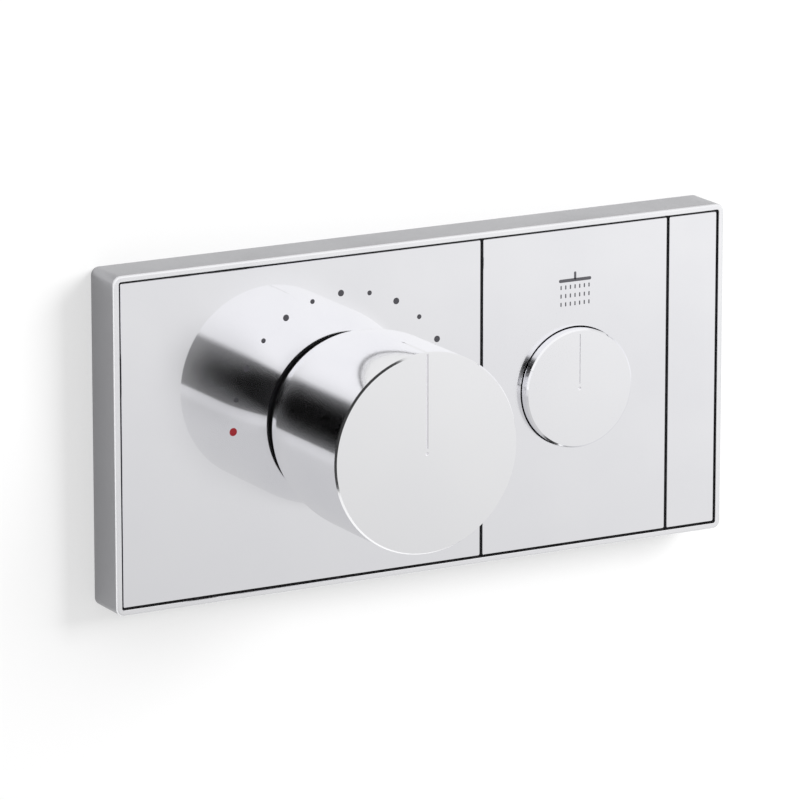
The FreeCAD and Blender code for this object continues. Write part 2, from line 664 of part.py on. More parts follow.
def passage_plug():
    """The hexagon-headed plug that closes the drilled end of the cross passage."""
    end = V(plug_end_x(), PASSAGE_DEPTH, 0)
    shank = bar(end - RIGHT * PLUG_SHANK, RIGHT, PLUG_RADIUS - RUNNING_FIT, PLUG_SHANK)
    return shank.fuse(prism(end, RIGHT, PLUG_FLATS, PLUG_HEAD)).removeSplitter()


def seat_mouth(port):
    """The outer end of a port's seat, and the direction out of the port."""
    middle, direction, chamber, throat = pipe_ports()[port]
    return middle + direction * (chamber + PORT_LENGTH - PORT_DEPTH), direction


def inlet_filter(port):
    """A mesh disc in a thin rim at the mouth of a port's seat."""
    mouth, direction = seat_mouth(port)
    start = mouth - direction * FILTER_THICK
    outside = PORT_SEAT_RADIUS - RUNNING_FIT
    rim = bar(start, direction, outside, FILTER_THICK)
    clear = outside - FILTER_RIM
    mesh_thick = FILTER_THICK / 4
    rim = rim.cut(bar(start + direction * mesh_thick, direction, clear, FILTER_THICK))
    return rim


def check_valve(port):
    """A non-return valve insert: a sleeve with a spoked guide and a stemmed disc inside."""
    mouth, direction = seat_mouth(port)
    length = PORT_SEAT_DEPTH - FILTER_THICK - 2 * SLIP_FIT
    start = mouth - direction * (FILTER_THICK + SLIP_FIT + length)
    outside = PORT_SEAT_RADIUS - RUNNING_FIT
    inside = outside - CHECK_WALL
    clear = bar(start - direction * CUT_OVERRUN, direction, inside, length + 2 * CUT_OVERRUN)
    sleeve = bar(start, direction, outside, length).cut(clear)
    side = UP if abs(direction.dot(UP)) < math.cos(math.pi / 4) else RIGHT
    spoke = bar(start + direction * CHECK_GUIDE - side * inside, side, CHECK_STEM_RADIUS / 2, 2 * inside)
    cross_start = start + direction * CHECK_GUIDE - INTO_WALL * inside
    cross = bar(cross_start, INTO_WALL, CHECK_STEM_RADIUS / 2, 2 * inside)
    stem = bar(start, direction, CHECK_STEM_RADIUS, length - CHECK_GUIDE)
    disc = bar(start + direction * (length - 2 * CHECK_GUIDE), direction, inside - CHECK_WALL, CHECK_GUIDE)
    return sleeve.fuse(spoke).fuse(cross).fuse(stem).fuse(disc).removeSplitter()


def hex_nut(x, flats, thread_radius, nose_radius):
    """A capped hexagon nut that clamps a cartridge's collar on its chamber's mouth."""
    nut = prism(V(x, NUT_FRONT, 0), INTO_WALL, flats, NUT_BACK - NUT_FRONT)
    corner_radius = flats / math.sqrt(3)
    turned_blank = turned(
        x,
        (0, NUT_FRONT),
        (corner_radius - NUT_CHAMFER, NUT_FRONT),
        (corner_radius, NUT_FRONT + NUT_CHAMFER / 2),
        (corner_radius, NUT_BACK - NUT_CHAMFER / 2),
        (corner_radius - NUT_CHAMFER, NUT_BACK),
        (0, NUT_BACK),
    )
    nut = nut.common(turned_blank)
    nut = nut.cut(rod(x, 0, thread_radius + RUNNING_FIT, COLLAR_FRONT, NUT_BACK + CUT_OVERRUN))
    return nut.cut(hole(x, 0, nose_radius + SLIP_FIT, NUT_FRONT, COLLAR_FRONT))


def windows(x, core, bore, middle_y):
    """Water windows cut through a cartridge's wall, evenly round it."""
    slot = block(
        x - WINDOW_WIDTH / 2,
        x + WINDOW_WIDTH / 2,
        middle_y - WINDOW_LENGTH / 2,
        middle_y + WINDOW_LENGTH / 2,
        core - CUT_OVERRUN,
        bore + CUT_OVERRUN,
    )
    return around(slot, x, WINDOW_COUNT)


def thermostat_seal_depths():
    """Where the thermostat cartridge's three O-rings sit."""
    return (SEAL_FRONT_DEPTH, SEAL_MIDDLE_DEPTH, THERMO_CARTRIDGE_BACK - SEAL_BACK_INSET)


def spindle_recess_front():
    """The shoulder inside the thermostat cartridge that the spindle's collar turns against."""
    return THERMO_CAVITY_FRONT - SPINDLE_COLLAR_THICK - SLIP_FIT


def thermostat_cartridge():
    """The thermostat's housing: nose, collar, and a windowed barrel with an end wall."""
    outside = THERMO_BORE - SLIP_FIT
    housing = turned(
        KNOB_X,
        (SPINDLE_RADIUS, THERMO_NOSE_FRONT),
        (THERMO_NOSE_RADIUS, THERMO_NOSE_FRONT),
        (THERMO_NOSE_RADIUS, COLLAR_FRONT),
        (THERMO_OUTER - SEAT_FIT, COLLAR_FRONT),
        (THERMO_OUTER - SEAT_FIT, MOUTH_DEPTH),
        (outside, MOUTH_DEPTH),
        (outside, THERMO_CARTRIDGE_BACK),
        (0, THERMO_CARTRIDGE_BACK),
        (0, THERMO_CAVITY_BACK),
        (THERMO_CORE, THERMO_CAVITY_BACK),
        (THERMO_CORE, THERMO_CAVITY_FRONT),
        (SPINDLE_COLLAR_RADIUS + SLIP_FIT, THERMO_CAVITY_FRONT),
        (SPINDLE_COLLAR_RADIUS + SLIP_FIT, spindle_recess_front()),
        (SPINDLE_RADIUS, spindle_recess_front()),
    )
    for depth in thermostat_seal_depths():
        housing = housing.cut(seal_groove(KNOB_X, depth, THERMO_BORE))
    for depth in (HOT_DEPTH, COLD_DEPTH):
        for slot in windows(KNOB_X, THERMO_CORE, THERMO_BORE, depth):
            housing = housing.cut(slot)
    ring_radius = (THERMO_CORE + OUTLET_HOLE_RADIUS) / 2
    outlet = hole(KNOB_X, ring_radius, OUTLET_HOLE_RADIUS, THERMO_CAVITY_BACK, THERMO_CARTRIDGE_BACK)
    for drilled in around(outlet, KNOB_X, WINDOW_COUNT):
        housing = housing.cut(drilled)
    return housing


def thermostat_spindle():
    """The turning spindle: tail, collar and bearing in the cartridge, and a neck in the knob's hub."""
    recess = spindle_recess_front() + SLIP_FIT / 2
    bearing = SPINDLE_RADIUS - RUNNING_FIT
    neck_back = CLIP_FRONT + CLIP_THICK
    return turned(
        KNOB_X,
        (0, SPINDLE_FRONT),
        (SPINDLE_NECK_RADIUS, SPINDLE_FRONT),
        (SPINDLE_NECK_RADIUS, neck_back),
        (bearing, neck_back),
        (bearing, recess),
        (SPINDLE_COLLAR_RADIUS, recess),
        (SPINDLE_COLLAR_RADIUS, recess + SPINDLE_COLLAR_THICK),
        (bearing, recess + SPINDLE_COLLAR_THICK),
        (bearing, THERMO_CAVITY_FRONT + SPINDLE_TAIL),
        (0, THERMO_CAVITY_FRONT + SPINDLE_TAIL),
    )


def retaining_clip(x, neck_radius, y_front):
    """A spring clip round a spindle's neck: a ring with a gap at the bottom."""
    ring = rod(x, 0, CLIP_RADIUS, y_front, y_front + CLIP_THICK)
    ring = ring.cut(hole(x, 0, neck_radius + RUNNING_FIT, y_front, y_front + CLIP_THICK))
    half_gap = neck_radius / 2
    gap_back = y_front + CLIP_THICK + CUT_OVERRUN
    gap = block(x - half_gap, x + half_gap, y_front - CUT_OVERRUN, gap_back, -CLIP_RADIUS, 0)
    return ring.cut(gap)


def regulator_piston():
    """The shuttle that opens the hot windows as it closes the cold ones: a ring on a spoked hub."""
    outside = THERMO_CORE - SLIP_FIT
    back = PISTON_FRONT_DEPTH + PISTON_LENGTH
    ring = rod(KNOB_X, 0, outside, PISTON_FRONT_DEPTH, back)
    ring = ring.cut(hole(KNOB_X, 0, outside - PISTON_WALL, PISTON_FRONT_DEPTH, back))
    web_front = PISTON_FRONT_DEPTH + (PISTON_LENGTH - PISTON_WEB) / 2
    web_back = web_front + PISTON_WEB
    ring = ring.fuse(rod(KNOB_X, 0, outside - PISTON_WALL / 2, web_front, web_back))
    ring = ring.cut(hole(KNOB_X, 0, WAX_RADIUS + RUNNING_FIT, web_front, web_back))
    hub_radius = WAX_RADIUS + PISTON_HUB_WALL
    way_radius = (outside - PISTON_WALL - hub_radius) / 3
    way = hole(KNOB_X, (outside - PISTON_WALL + hub_radius) / 2, way_radius, web_front, web_back)
    for drilled in around(way, KNOB_X, WINDOW_COUNT):
        ring = ring.cut(drilled)
    return ring.removeSplitter()


def wax_element():
    """The temperature element: a capsule with a collar that seats on the piston, and a push pin."""
    collar_front = PISTON_FRONT_DEPTH + (PISTON_LENGTH + PISTON_WEB) / 2
    capsule_front = THERMO_CAVITY_FRONT + SPINDLE_TAIL + REGULATOR_TRAVEL + SLIP_FIT + WAX_TIP_LENGTH
    collar_back = collar_front + WAX_COLLAR_THICK
    capsule_back = capsule_front + WAX_LENGTH
    return turned(
        KNOB_X,
        (0, capsule_front - WAX_TIP_LENGTH),
        (WAX_TIP_RADIUS, capsule_front - WAX_TIP_LENGTH),
        (WAX_TIP_RADIUS, capsule_front),
        (WAX_RADIUS, capsule_front),
        (WAX_RADIUS, collar_front),
        (WAX_COLLAR_RADIUS, collar_front),
        (WAX_COLLAR_RADIUS, collar_back),
        (WAX_RADIUS, collar_back),
        (WAX_RADIUS, capsule_back),
        (0, capsule_back),
    )


def stop_ring():
    """The fixed stop on the cartridge's nose: a ring with a long lug that limits the knob's swing."""
    inner = THERMO_NOSE_RADIUS + RUNNING_FIT
    outer = inner + STOP_RING_WALL
    ring = rod(KNOB_X, 0, outer, STOP_FRONT, STOP_BACK).cut(hole(KNOB_X, 0, inner, STOP_FRONT, STOP_BACK))
    lug_half = HALF_TURN - KNOB_SWING - STOP_LUG_HALF_ANGLE - STOP_SLACK
    lug_inner = outer - STOP_RING_WALL / 2
    lug = sector(KNOB_X, lug_inner, outer + STOP_LUG_WIDTH, STOP_FRONT, STOP_BACK, HALF_TURN, lug_half)
    return ring.fuse(lug).removeSplitter()


def knob_side_radius(y, inset):
    """The radius of the knob's side at a depth, less an inset: straight, then drawn in on an arc."""
    along = max(y - (KNOB_REAR - KNOB_DRAW_LENGTH), 0.0)
    arc = KNOB_DRAW_ARC - inset
    return KNOB_RADIUS - KNOB_DRAW_ARC + math.sqrt(arc * arc - along * along)


def knob_shell():
    """The knob's chromed cup: bevelled face with an engraved line, and a side that draws in to the rear."""
    draw_start = KNOB_REAR - KNOB_DRAW_LENGTH
    draw_middle = KNOB_REAR - KNOB_DRAW_LENGTH / 2
    inside = KNOB_RADIUS - KNOB_WALL
    shell = turned(
        KNOB_X,
        (0, KNOB_FRONT),
        (KNOB_RADIUS - KNOB_FACE_BEVEL, KNOB_FRONT),
        (KNOB_RADIUS, KNOB_FRONT + KNOB_FACE_BEVEL),
        (KNOB_RADIUS, draw_start),
        ((knob_side_radius(draw_middle, 0), draw_middle), (KNOB_REAR_RADIUS, KNOB_REAR)),
        (knob_side_radius(KNOB_REAR, KNOB_WALL), KNOB_REAR),
        ((knob_side_radius(draw_middle, KNOB_WALL), draw_middle), (inside, draw_start)),
        (inside, KNOB_INSIDE),
        (0, KNOB_INSIDE),
    )
    half_line = KNOB_LINE_WIDTH / 2
    line = block(
        KNOB_X - half_line,
        KNOB_X + half_line,
        KNOB_FRONT - CUT_OVERRUN,
        KNOB_FRONT + MARK_DEPTH,
        MARK_DOT_OFFSET,
        KNOB_RADIUS + CUT_OVERRUN,
    )
    dot = rod(KNOB_X, 0, MARK_DOT_RADIUS, KNOB_FRONT - CUT_OVERRUN, KNOB_FRONT + MARK_DEPTH)
    key_way = bar(V(KNOB_X, set_screw_depth(), 0), -UP, SET_SCREW_RADIUS, KNOB_RADIUS + CUT_OVERRUN)
    return shell.cut(line).cut(dot).cut(key_way)


def set_screw_depth():
    """How far along Y the knob's set screw lies."""
    return KNOB_REAR - SET_SCREW_FROM_REAR


def knob_hub():
    """The knob's moulded core: tube, collar through the plate's hole, ribs, socket boss and stop lug."""
    outside = knob_side_radius(KNOB_REAR, KNOB_WALL) - SLIP_FIT
    core = outside - HUB_WALL
    tube = rod(KNOB_X, 0, outside, HUB_FRONT, HUB_TAIL_END)
    tube = tube.fuse(rod(KNOB_X, 0, HUB_COLLAR_RADIUS, KNOB_REAR + SLIP_FIT, HUB_TAIL_END))
    tube = tube.cut(rod(KNOB_X, 0, core, HUB_FRONT + HUB_WEB, HUB_TAIL_END + CUT_OVERRUN))
    hub = tube.fuse(rod(KNOB_X, 0, HUB_BOSS_RADIUS, HUB_FRONT, HUB_BACK))
    half_rib = HUB_RIB / 2
    rib_x = KNOB_X - half_rib
    rib = block(rib_x, rib_x + HUB_RIB, HUB_FRONT, KNOB_REAR, HUB_BOSS_RADIUS - half_rib, core + half_rib)
    for blade in around(rib, KNOB_X, HUB_RIB_COUNT):
        hub = hub.fuse(blade)
    lug_outer = THERMO_NOSE_RADIUS + RUNNING_FIT + STOP_RING_WALL + STOP_LUG_WIDTH
    lug_inner = lug_outer - STOP_LUG_WIDTH + MOVING_GAP
    hub = hub.fuse(rod(KNOB_X, 0, lug_outer, HUB_BACK - STOP_DISC_THICK, HUB_BACK))
    lug_end = STOP_BACK - MOVING_GAP
    hub = hub.fuse(sector(KNOB_X, lug_inner, lug_outer, HUB_BACK, lug_end, 0, STOP_LUG_HALF_ANGLE))
    socket_radius = SPINDLE_NECK_RADIUS + RUNNING_FIT
    hub = hub.cut(rod(KNOB_X, 0, socket_radius, SPINDLE_FRONT - SLIP_FIT, HUB_BACK + CUT_OVERRUN))
    return hub.cut(bar(V(KNOB_X, set_screw_depth(), 0), -UP, SET_SCREW_RADIUS, KNOB_RADIUS)).removeSplitter()


def knob_set_screw():
    """The grub screw that holds the hub on the spindle, with a hexagon socket."""
    start = V(KNOB_X, set_screw_depth(), -SPINDLE_NECK_RADIUS - RUNNING_FIT)
    length = HUB_BOSS_RADIUS - SPINDLE_NECK_RADIUS - RUNNING_FIT
    screw = bar(start, -UP, SET_SCREW_RADIUS - RUNNING_FIT, length)
    socket = prism(start - UP * (length / 2), -UP, SET_SCREW_RADIUS, length)
    return screw.cut(socket)


def flow_cartridge():
    """The flow control's housing: nose, collar, disc pocket and a windowed barrel."""
    outside = FLOW_BORE - SLIP_FIT
    pocket = DISC_RADIUS + SLIP_FIT
    pocket_front = DISC_FRONT_DEPTH - DRIVER_THICK - SLIP_FIT
    pocket_back = DISC_FRONT_DEPTH + 2 * DISC_THICK + SLIP_FIT
    housing = turned(
        BUTTON_X,
        (SPINDLE_RADIUS, FLOW_NOSE_FRONT),
        (FLOW_NOSE_RADIUS, FLOW_NOSE_FRONT),
        (FLOW_NOSE_RADIUS, COLLAR_FRONT),
        (FLOW_OUTER - SEAT_FIT, COLLAR_FRONT),
        (FLOW_OUTER - SEAT_FIT, MOUTH_DEPTH),
        (outside, MOUTH_DEPTH),
        (outside, FLOW_CARTRIDGE_BACK),
        (POPPET_RADIUS - POPPET_LAP, FLOW_CARTRIDGE_BACK),
        (POPPET_RADIUS - POPPET_LAP, FLOW_CAVITY_BACK),
        (FLOW_CAVITY, FLOW_CAVITY_BACK),
        (FLOW_CAVITY, pocket_back),
        (pocket, pocket_back),
        (pocket, pocket_front),
        (SPINDLE_RADIUS, pocket_front),
    )
    for depth in flow_seal_depths():
        housing = housing.cut(seal_groove(BUTTON_X, depth, FLOW_BORE))
    for slot in windows(BUTTON_X, FLOW_CAVITY, FLOW_BORE, OUTLET_DEPTH):
        housing = housing.cut(slot)
    return housing


def flow_seal_depths():
    """Where the flow cartridge's two O-rings sit."""
    return (SEAL_FRONT_DEPTH, FLOW_CARTRIDGE_BACK - SEAL_BACK_INSET)


def flow_spindle():
    """The hollow spindle that turns the ceramic disc, with a driver flange at its inner end."""
    bearing = SPINDLE_RADIUS - RUNNING_FIT
    bore = STEM_RADIUS + RUNNING_FIT
    neck_back = FLOW_CLIP_FRONT + CLIP_THICK
    driver_front = DISC_FRONT_DEPTH - DRIVER_THICK
    return turned(
        BUTTON_X,
        (bore, FLOW_SPINDLE_FRONT),
        (SPINDLE_NECK_RADIUS, FLOW_SPINDLE_FRONT),
        (SPINDLE_NECK_RADIUS, neck_back),
        (bearing, neck_back),
        (bearing, driver_front),
        (DISC_RADIUS - SLIP_FIT, driver_front),
        (DISC_RADIUS - SLIP_FIT, DISC_FRONT_DEPTH - SEAL_FIT),
        (bore, DISC_FRONT_DEPTH - SEAL_FIT),
    )


def ceramic_disc(y_front, first_angle):
    """A lapped ceramic disc with a ring of water holes round the stem's hole."""
    back = y_front + DISC_THICK - SEAL_FIT
    disc = rod(BUTTON_X, 0, DISC_RADIUS, y_front, back)
    disc = disc.cut(hole(BUTTON_X, 0, STEM_RADIUS + SLIP_FIT, y_front, back))
    water = hole(BUTTON_X, (DISC_RADIUS + STEM_RADIUS) / 2, DISC_HOLE_RADIUS, y_front, back)
    water.rotate(V(BUTTON_X, 0, 0), INTO_WALL, first_angle)
    for drilled in around(water, BUTTON_X, DISC_HOLE_COUNT):
        disc = disc.cut(drilled)
    return disc


def volume_sleeve():
    """The moulded sleeve on the flow spindle: a disc with two keys that turn with the button."""
    neck = SPINDLE_NECK_RADIUS + RUNNING_FIT
    disc_radius = BUTTON_RADIUS - BUTTON_WALL - MOVING_GAP
    sleeve = turned(
        BUTTON_X,
        (neck, SLEEVE_FRONT),
        (neck + SLEEVE_TUBE_WALL, SLEEVE_FRONT),
        (neck + SLEEVE_TUBE_WALL, SLEEVE_DISC_FRONT),
        (disc_radius, SLEEVE_DISC_FRONT),
        (disc_radius, SLEEVE_BACK),
        (neck, SLEEVE_BACK),
    )
    key_reach = BUTTON_RADIUS - BUTTON_WALL + KEY_HEIGHT - MOVING_GAP
    half_key = KEY_WIDTH / 2
    for side in (-1, 1):
        near = BUTTON_X + side * (neck + SLEEVE_TUBE_WALL)
        far = BUTTON_X + side * key_reach
        low = min(near, far)
        high = max(near, far)
        sleeve = sleeve.fuse(block(low, high, SLEEVE_DISC_FRONT, SLEEVE_BACK, -half_key, half_key))
    return sleeve.removeSplitter()


def button_cap():
    """The chromed button: bevelled face with an engraved line, a skirt with two key slots, a stem boss."""
    inside = BUTTON_RADIUS - BUTTON_WALL
    boss_back = BUTTON_INSIDE + BUTTON_BOSS_DEPTH
    cap = turned(
        BUTTON_X,
        (0, BUTTON_FRONT),
        (BUTTON_RADIUS - BUTTON_BEVEL, BUTTON_FRONT),
        (BUTTON_RADIUS, BUTTON_FRONT + BUTTON_BEVEL),
        (BUTTON_RADIUS, BUTTON_REAR),
        (inside, BUTTON_REAR),
        (inside, BUTTON_INSIDE),
        (BUTTON_BOSS_RADIUS, BUTTON_INSIDE),
        (BUTTON_BOSS_RADIUS, boss_back),
        (STEM_RADIUS + RUNNING_FIT, boss_back),
        (STEM_RADIUS + RUNNING_FIT, BUTTON_INSIDE),
        (0, BUTTON_INSIDE),
    )
    slot_reach = inside + KEY_HEIGHT
    half_slot = KEY_WIDTH / 2 + MOVING_GAP
    slots = block(
        BUTTON_X - slot_reach,
        BUTTON_X + slot_reach,
        boss_back,
        BUTTON_REAR + CUT_OVERRUN,
        -half_slot,
        half_slot,
    )
    slots = slots.cut(rod(BUTTON_X, 0, inside, boss_back, BUTTON_REAR + CUT_OVERRUN))
    half_line = BUTTON_LINE_WIDTH / 2
    line_start = MARK_DOT_OFFSET
    line = block(
        BUTTON_X - half_line,
        BUTTON_X + half_line,
        BUTTON_FRONT - CUT_OVERRUN,
        BUTTON_FRONT + MARK_DEPTH,
        line_start,
        line_start + BUTTON_LINE_LENGTH,
    )
    dot = rod(BUTTON_X, 0, MARK_DOT_RADIUS, BUTTON_FRONT - CUT_OVERRUN, BUTTON_FRONT + MARK_DEPTH)
    return cap.cut(slots).cut(line).cut(dot)


def button_stem():
    """The rod that carries the button's push to the on-off seal."""
    return rod(BUTTON_X, 0, STEM_RADIUS, BUTTON_INSIDE, POPPET_DEPTH)


def on_off_seal():
    """The rubber disc on the stem's end that shuts the flow."""
    back = POPPET_DEPTH + POPPET_THICK
    return turned(
        BUTTON_X,
        (0, POPPET_DEPTH),
        (POPPET_RADIUS, POPPET_DEPTH),
        (POPPET_RADIUS, POPPET_DEPTH + POPPET_THICK / 2),
        (STEM_RADIUS, back),
        (0, back),
    )


def thermostat_spring():
    """The return spring behind the regulator's piston."""
    front = PISTON_FRONT_DEPTH + PISTON_LENGTH
    back = THERMO_CAVITY_BACK
    return coil(KNOB_X, THERMO_SPRING_RADIUS, THERMO_SPRING_WIRE, front, back, THERMO_SPRING_TURNS)


def button_spring():
    """The return spring between the sleeve's disc and the button's face."""
    front = BUTTON_INSIDE
    back = SLEEVE_DISC_FRONT
    return coil(BUTTON_X, BUTTON_SPRING_RADIUS, BUTTON_SPRING_WIRE, front, back, BUTTON_SPRING_TURNS)


def all_pieces():
    """Every node's shape by name; a list is one node of separate solids."""
    pieces = {"frame": panel_frame()}
    pieces.update(front_plates())
    pieces["plate_carrier"] = plate_carrier()
    pieces["wall_gasket"] = wall_gasket()
    pieces["mounting_bracket"] = mounting_bracket()
    pieces["retaining_studs"] = retaining_studs()
    pieces["stud_rings"] = stud_rings()
    pieces["bracket_pillars"] = bracket_pillars()
    pieces["bracket_screws"] = bracket_screws()
    pieces["valve_body"] = valve_body()
    pieces["passage_plug"] = passage_plug()
    pieces["inlet_filters"] = [inlet_filter(port) for port in ("hot", "cold")]
    pieces["hot_check_valve"] = check_valve("hot")
    pieces["cold_check_valve"] = check_valve("cold")
    pieces["thermostat_cartridge"] = thermostat_cartridge()
    pieces["thermostat_nut"] = hex_nut(KNOB_X, THERMO_NUT_FLATS, THERMO_OUTER, THERMO_NOSE_RADIUS)
    pieces["thermostat_seals"] = [seal_ring(KNOB_X, depth, THERMO_BORE) for depth in thermostat_seal_depths()]
    pieces["thermostat_spring"] = thermostat_spring()
    pieces["stop_ring"] = stop_ring()
    pieces["thermostat_spindle"] = thermostat_spindle()
    pieces["spindle_clip"] = retaining_clip(KNOB_X, SPINDLE_NECK_RADIUS, CLIP_FRONT)
    pieces["knob_shell"] = knob_shell()
    pieces["knob_hub"] = knob_hub()
    pieces["knob_set_screw"] = knob_set_screw()
    pieces["regulator_piston"] = regulator_piston()
    pieces["wax_element"] = wax_element()
    pieces["flow_cartridge"] = flow_cartridge()
    pieces["flow_nut"] = hex_nut(BUTTON_X, FLOW_NUT_FLATS, FLOW_OUTER, FLOW_NOSE_RADIUS)
    pieces["flow_seals"] = [seal_ring(BUTTON_X, depth, FLOW_BORE) for depth in flow_seal_depths()]
    pieces["fixed_disc"] = ceramic_disc(DISC_FRONT_DEPTH + DISC_THICK, 0)
    pieces["rotating_disc"] = ceramic_disc(DISC_FRONT_DEPTH, HALF_TURN / DISC_HOLE_COUNT)
    pieces["flow_spindle"] = flow_spindle()
    pieces["flow_clip"] = retaining_clip(BUTTON_X, SPINDLE_NECK_RADIUS, FLOW_CLIP_FRONT)
    pieces["volume_sleeve"] = volume_sleeve()
    pieces["button_cap"] = button_cap()
    pieces["button_stem"] = button_stem()
    pieces["on_off_seal"] = on_off_seal()
    pieces["button_spring"] = button_spring()
    return pieces


os.makedirs("parts", exist_ok=True)
for name, shape in all_pieces().items():
    if isinstance(shape, list):
        shape = Part.makeCompound(shape)
    shape.exportStep("parts/" + name + ".step")
    solids = shape.Solids
    print(name, len(solids), round(sum(s.Volume for s in solids), 1), shape.isValid())
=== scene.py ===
"""Looks of a concealed shower control: framed plates, temperature knob, flow button and the valve behind.

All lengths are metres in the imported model's frame: +X right, +Y into the wall and +Z up, with the origin on
the wall's surface.
"""

import json
import logging
import math
from dataclasses import dataclass, field
from enum import Enum
from typing import ClassVar

import bmesh
import bpy
import numpy as np
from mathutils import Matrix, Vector


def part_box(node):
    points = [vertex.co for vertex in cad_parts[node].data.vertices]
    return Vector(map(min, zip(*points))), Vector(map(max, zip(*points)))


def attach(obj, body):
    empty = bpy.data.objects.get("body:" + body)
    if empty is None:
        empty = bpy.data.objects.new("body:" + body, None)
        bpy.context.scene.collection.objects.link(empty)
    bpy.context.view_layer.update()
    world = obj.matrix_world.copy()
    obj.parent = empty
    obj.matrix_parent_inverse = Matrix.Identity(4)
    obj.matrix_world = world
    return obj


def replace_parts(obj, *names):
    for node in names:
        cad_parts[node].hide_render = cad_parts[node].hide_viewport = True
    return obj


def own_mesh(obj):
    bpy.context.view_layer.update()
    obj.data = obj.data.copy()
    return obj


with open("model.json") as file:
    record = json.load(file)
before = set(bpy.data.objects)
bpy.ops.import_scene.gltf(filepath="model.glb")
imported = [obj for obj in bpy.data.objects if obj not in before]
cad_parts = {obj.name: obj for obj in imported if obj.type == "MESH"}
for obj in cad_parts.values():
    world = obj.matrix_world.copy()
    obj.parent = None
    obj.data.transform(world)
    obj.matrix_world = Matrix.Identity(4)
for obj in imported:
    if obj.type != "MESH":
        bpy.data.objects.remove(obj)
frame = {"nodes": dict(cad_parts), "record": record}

LOG = logging.getLogger("shower_control")
MM = 0.001
WELD = 1e-7
CREASE = math.radians(28.0)
FULL_TURN = 2 * math.pi
CORNER_POINTS = 9
RUN_POINTS = 74
METAL = 1.0
WHITE = (1.0, 1.0, 1.0, 1.0)
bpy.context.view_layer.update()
Colour = tuple[float, float, float]
Place = tuple[float, float, float]
Tree = bpy.types.NodeTree
Socket = bpy.types.NodeSocket


def srgb(red: float, green: float, blue: float) -> Colour:
    """Linear colour of an 8-bit display colour, by the sRGB curve.

    Args:
        red: Red from 0 to 255.
        green: Green from 0 to 255.
        blue: Blue from 0 to 255.

    Returns:
        The three linear values.
    """
    share = np.array([red, green, blue]) / 255.0
    linear = np.where(share <= 0.04045, share / 12.92, ((share + 0.055) / 1.055) ** 2.4)
    return tuple(float(v) for v in linear)


class Grain(Enum):
    """How a finish varies over its surface: noise scale per metre along X, Y and Z."""

    POLISHED = (35.0, 35.0, 35.0)
    BRUSHED = (90.0, 90.0, 2600.0)
    TURNED = (500.0, 4200.0, 500.0)
    CAST = (900.0, 900.0, 900.0)
    MOULDED = (1500.0, 1500.0, 1500.0)
    FOAM = (2400.0, 2400.0, 2400.0)
    WOVEN = (5200.0, 5200.0, 5200.0)


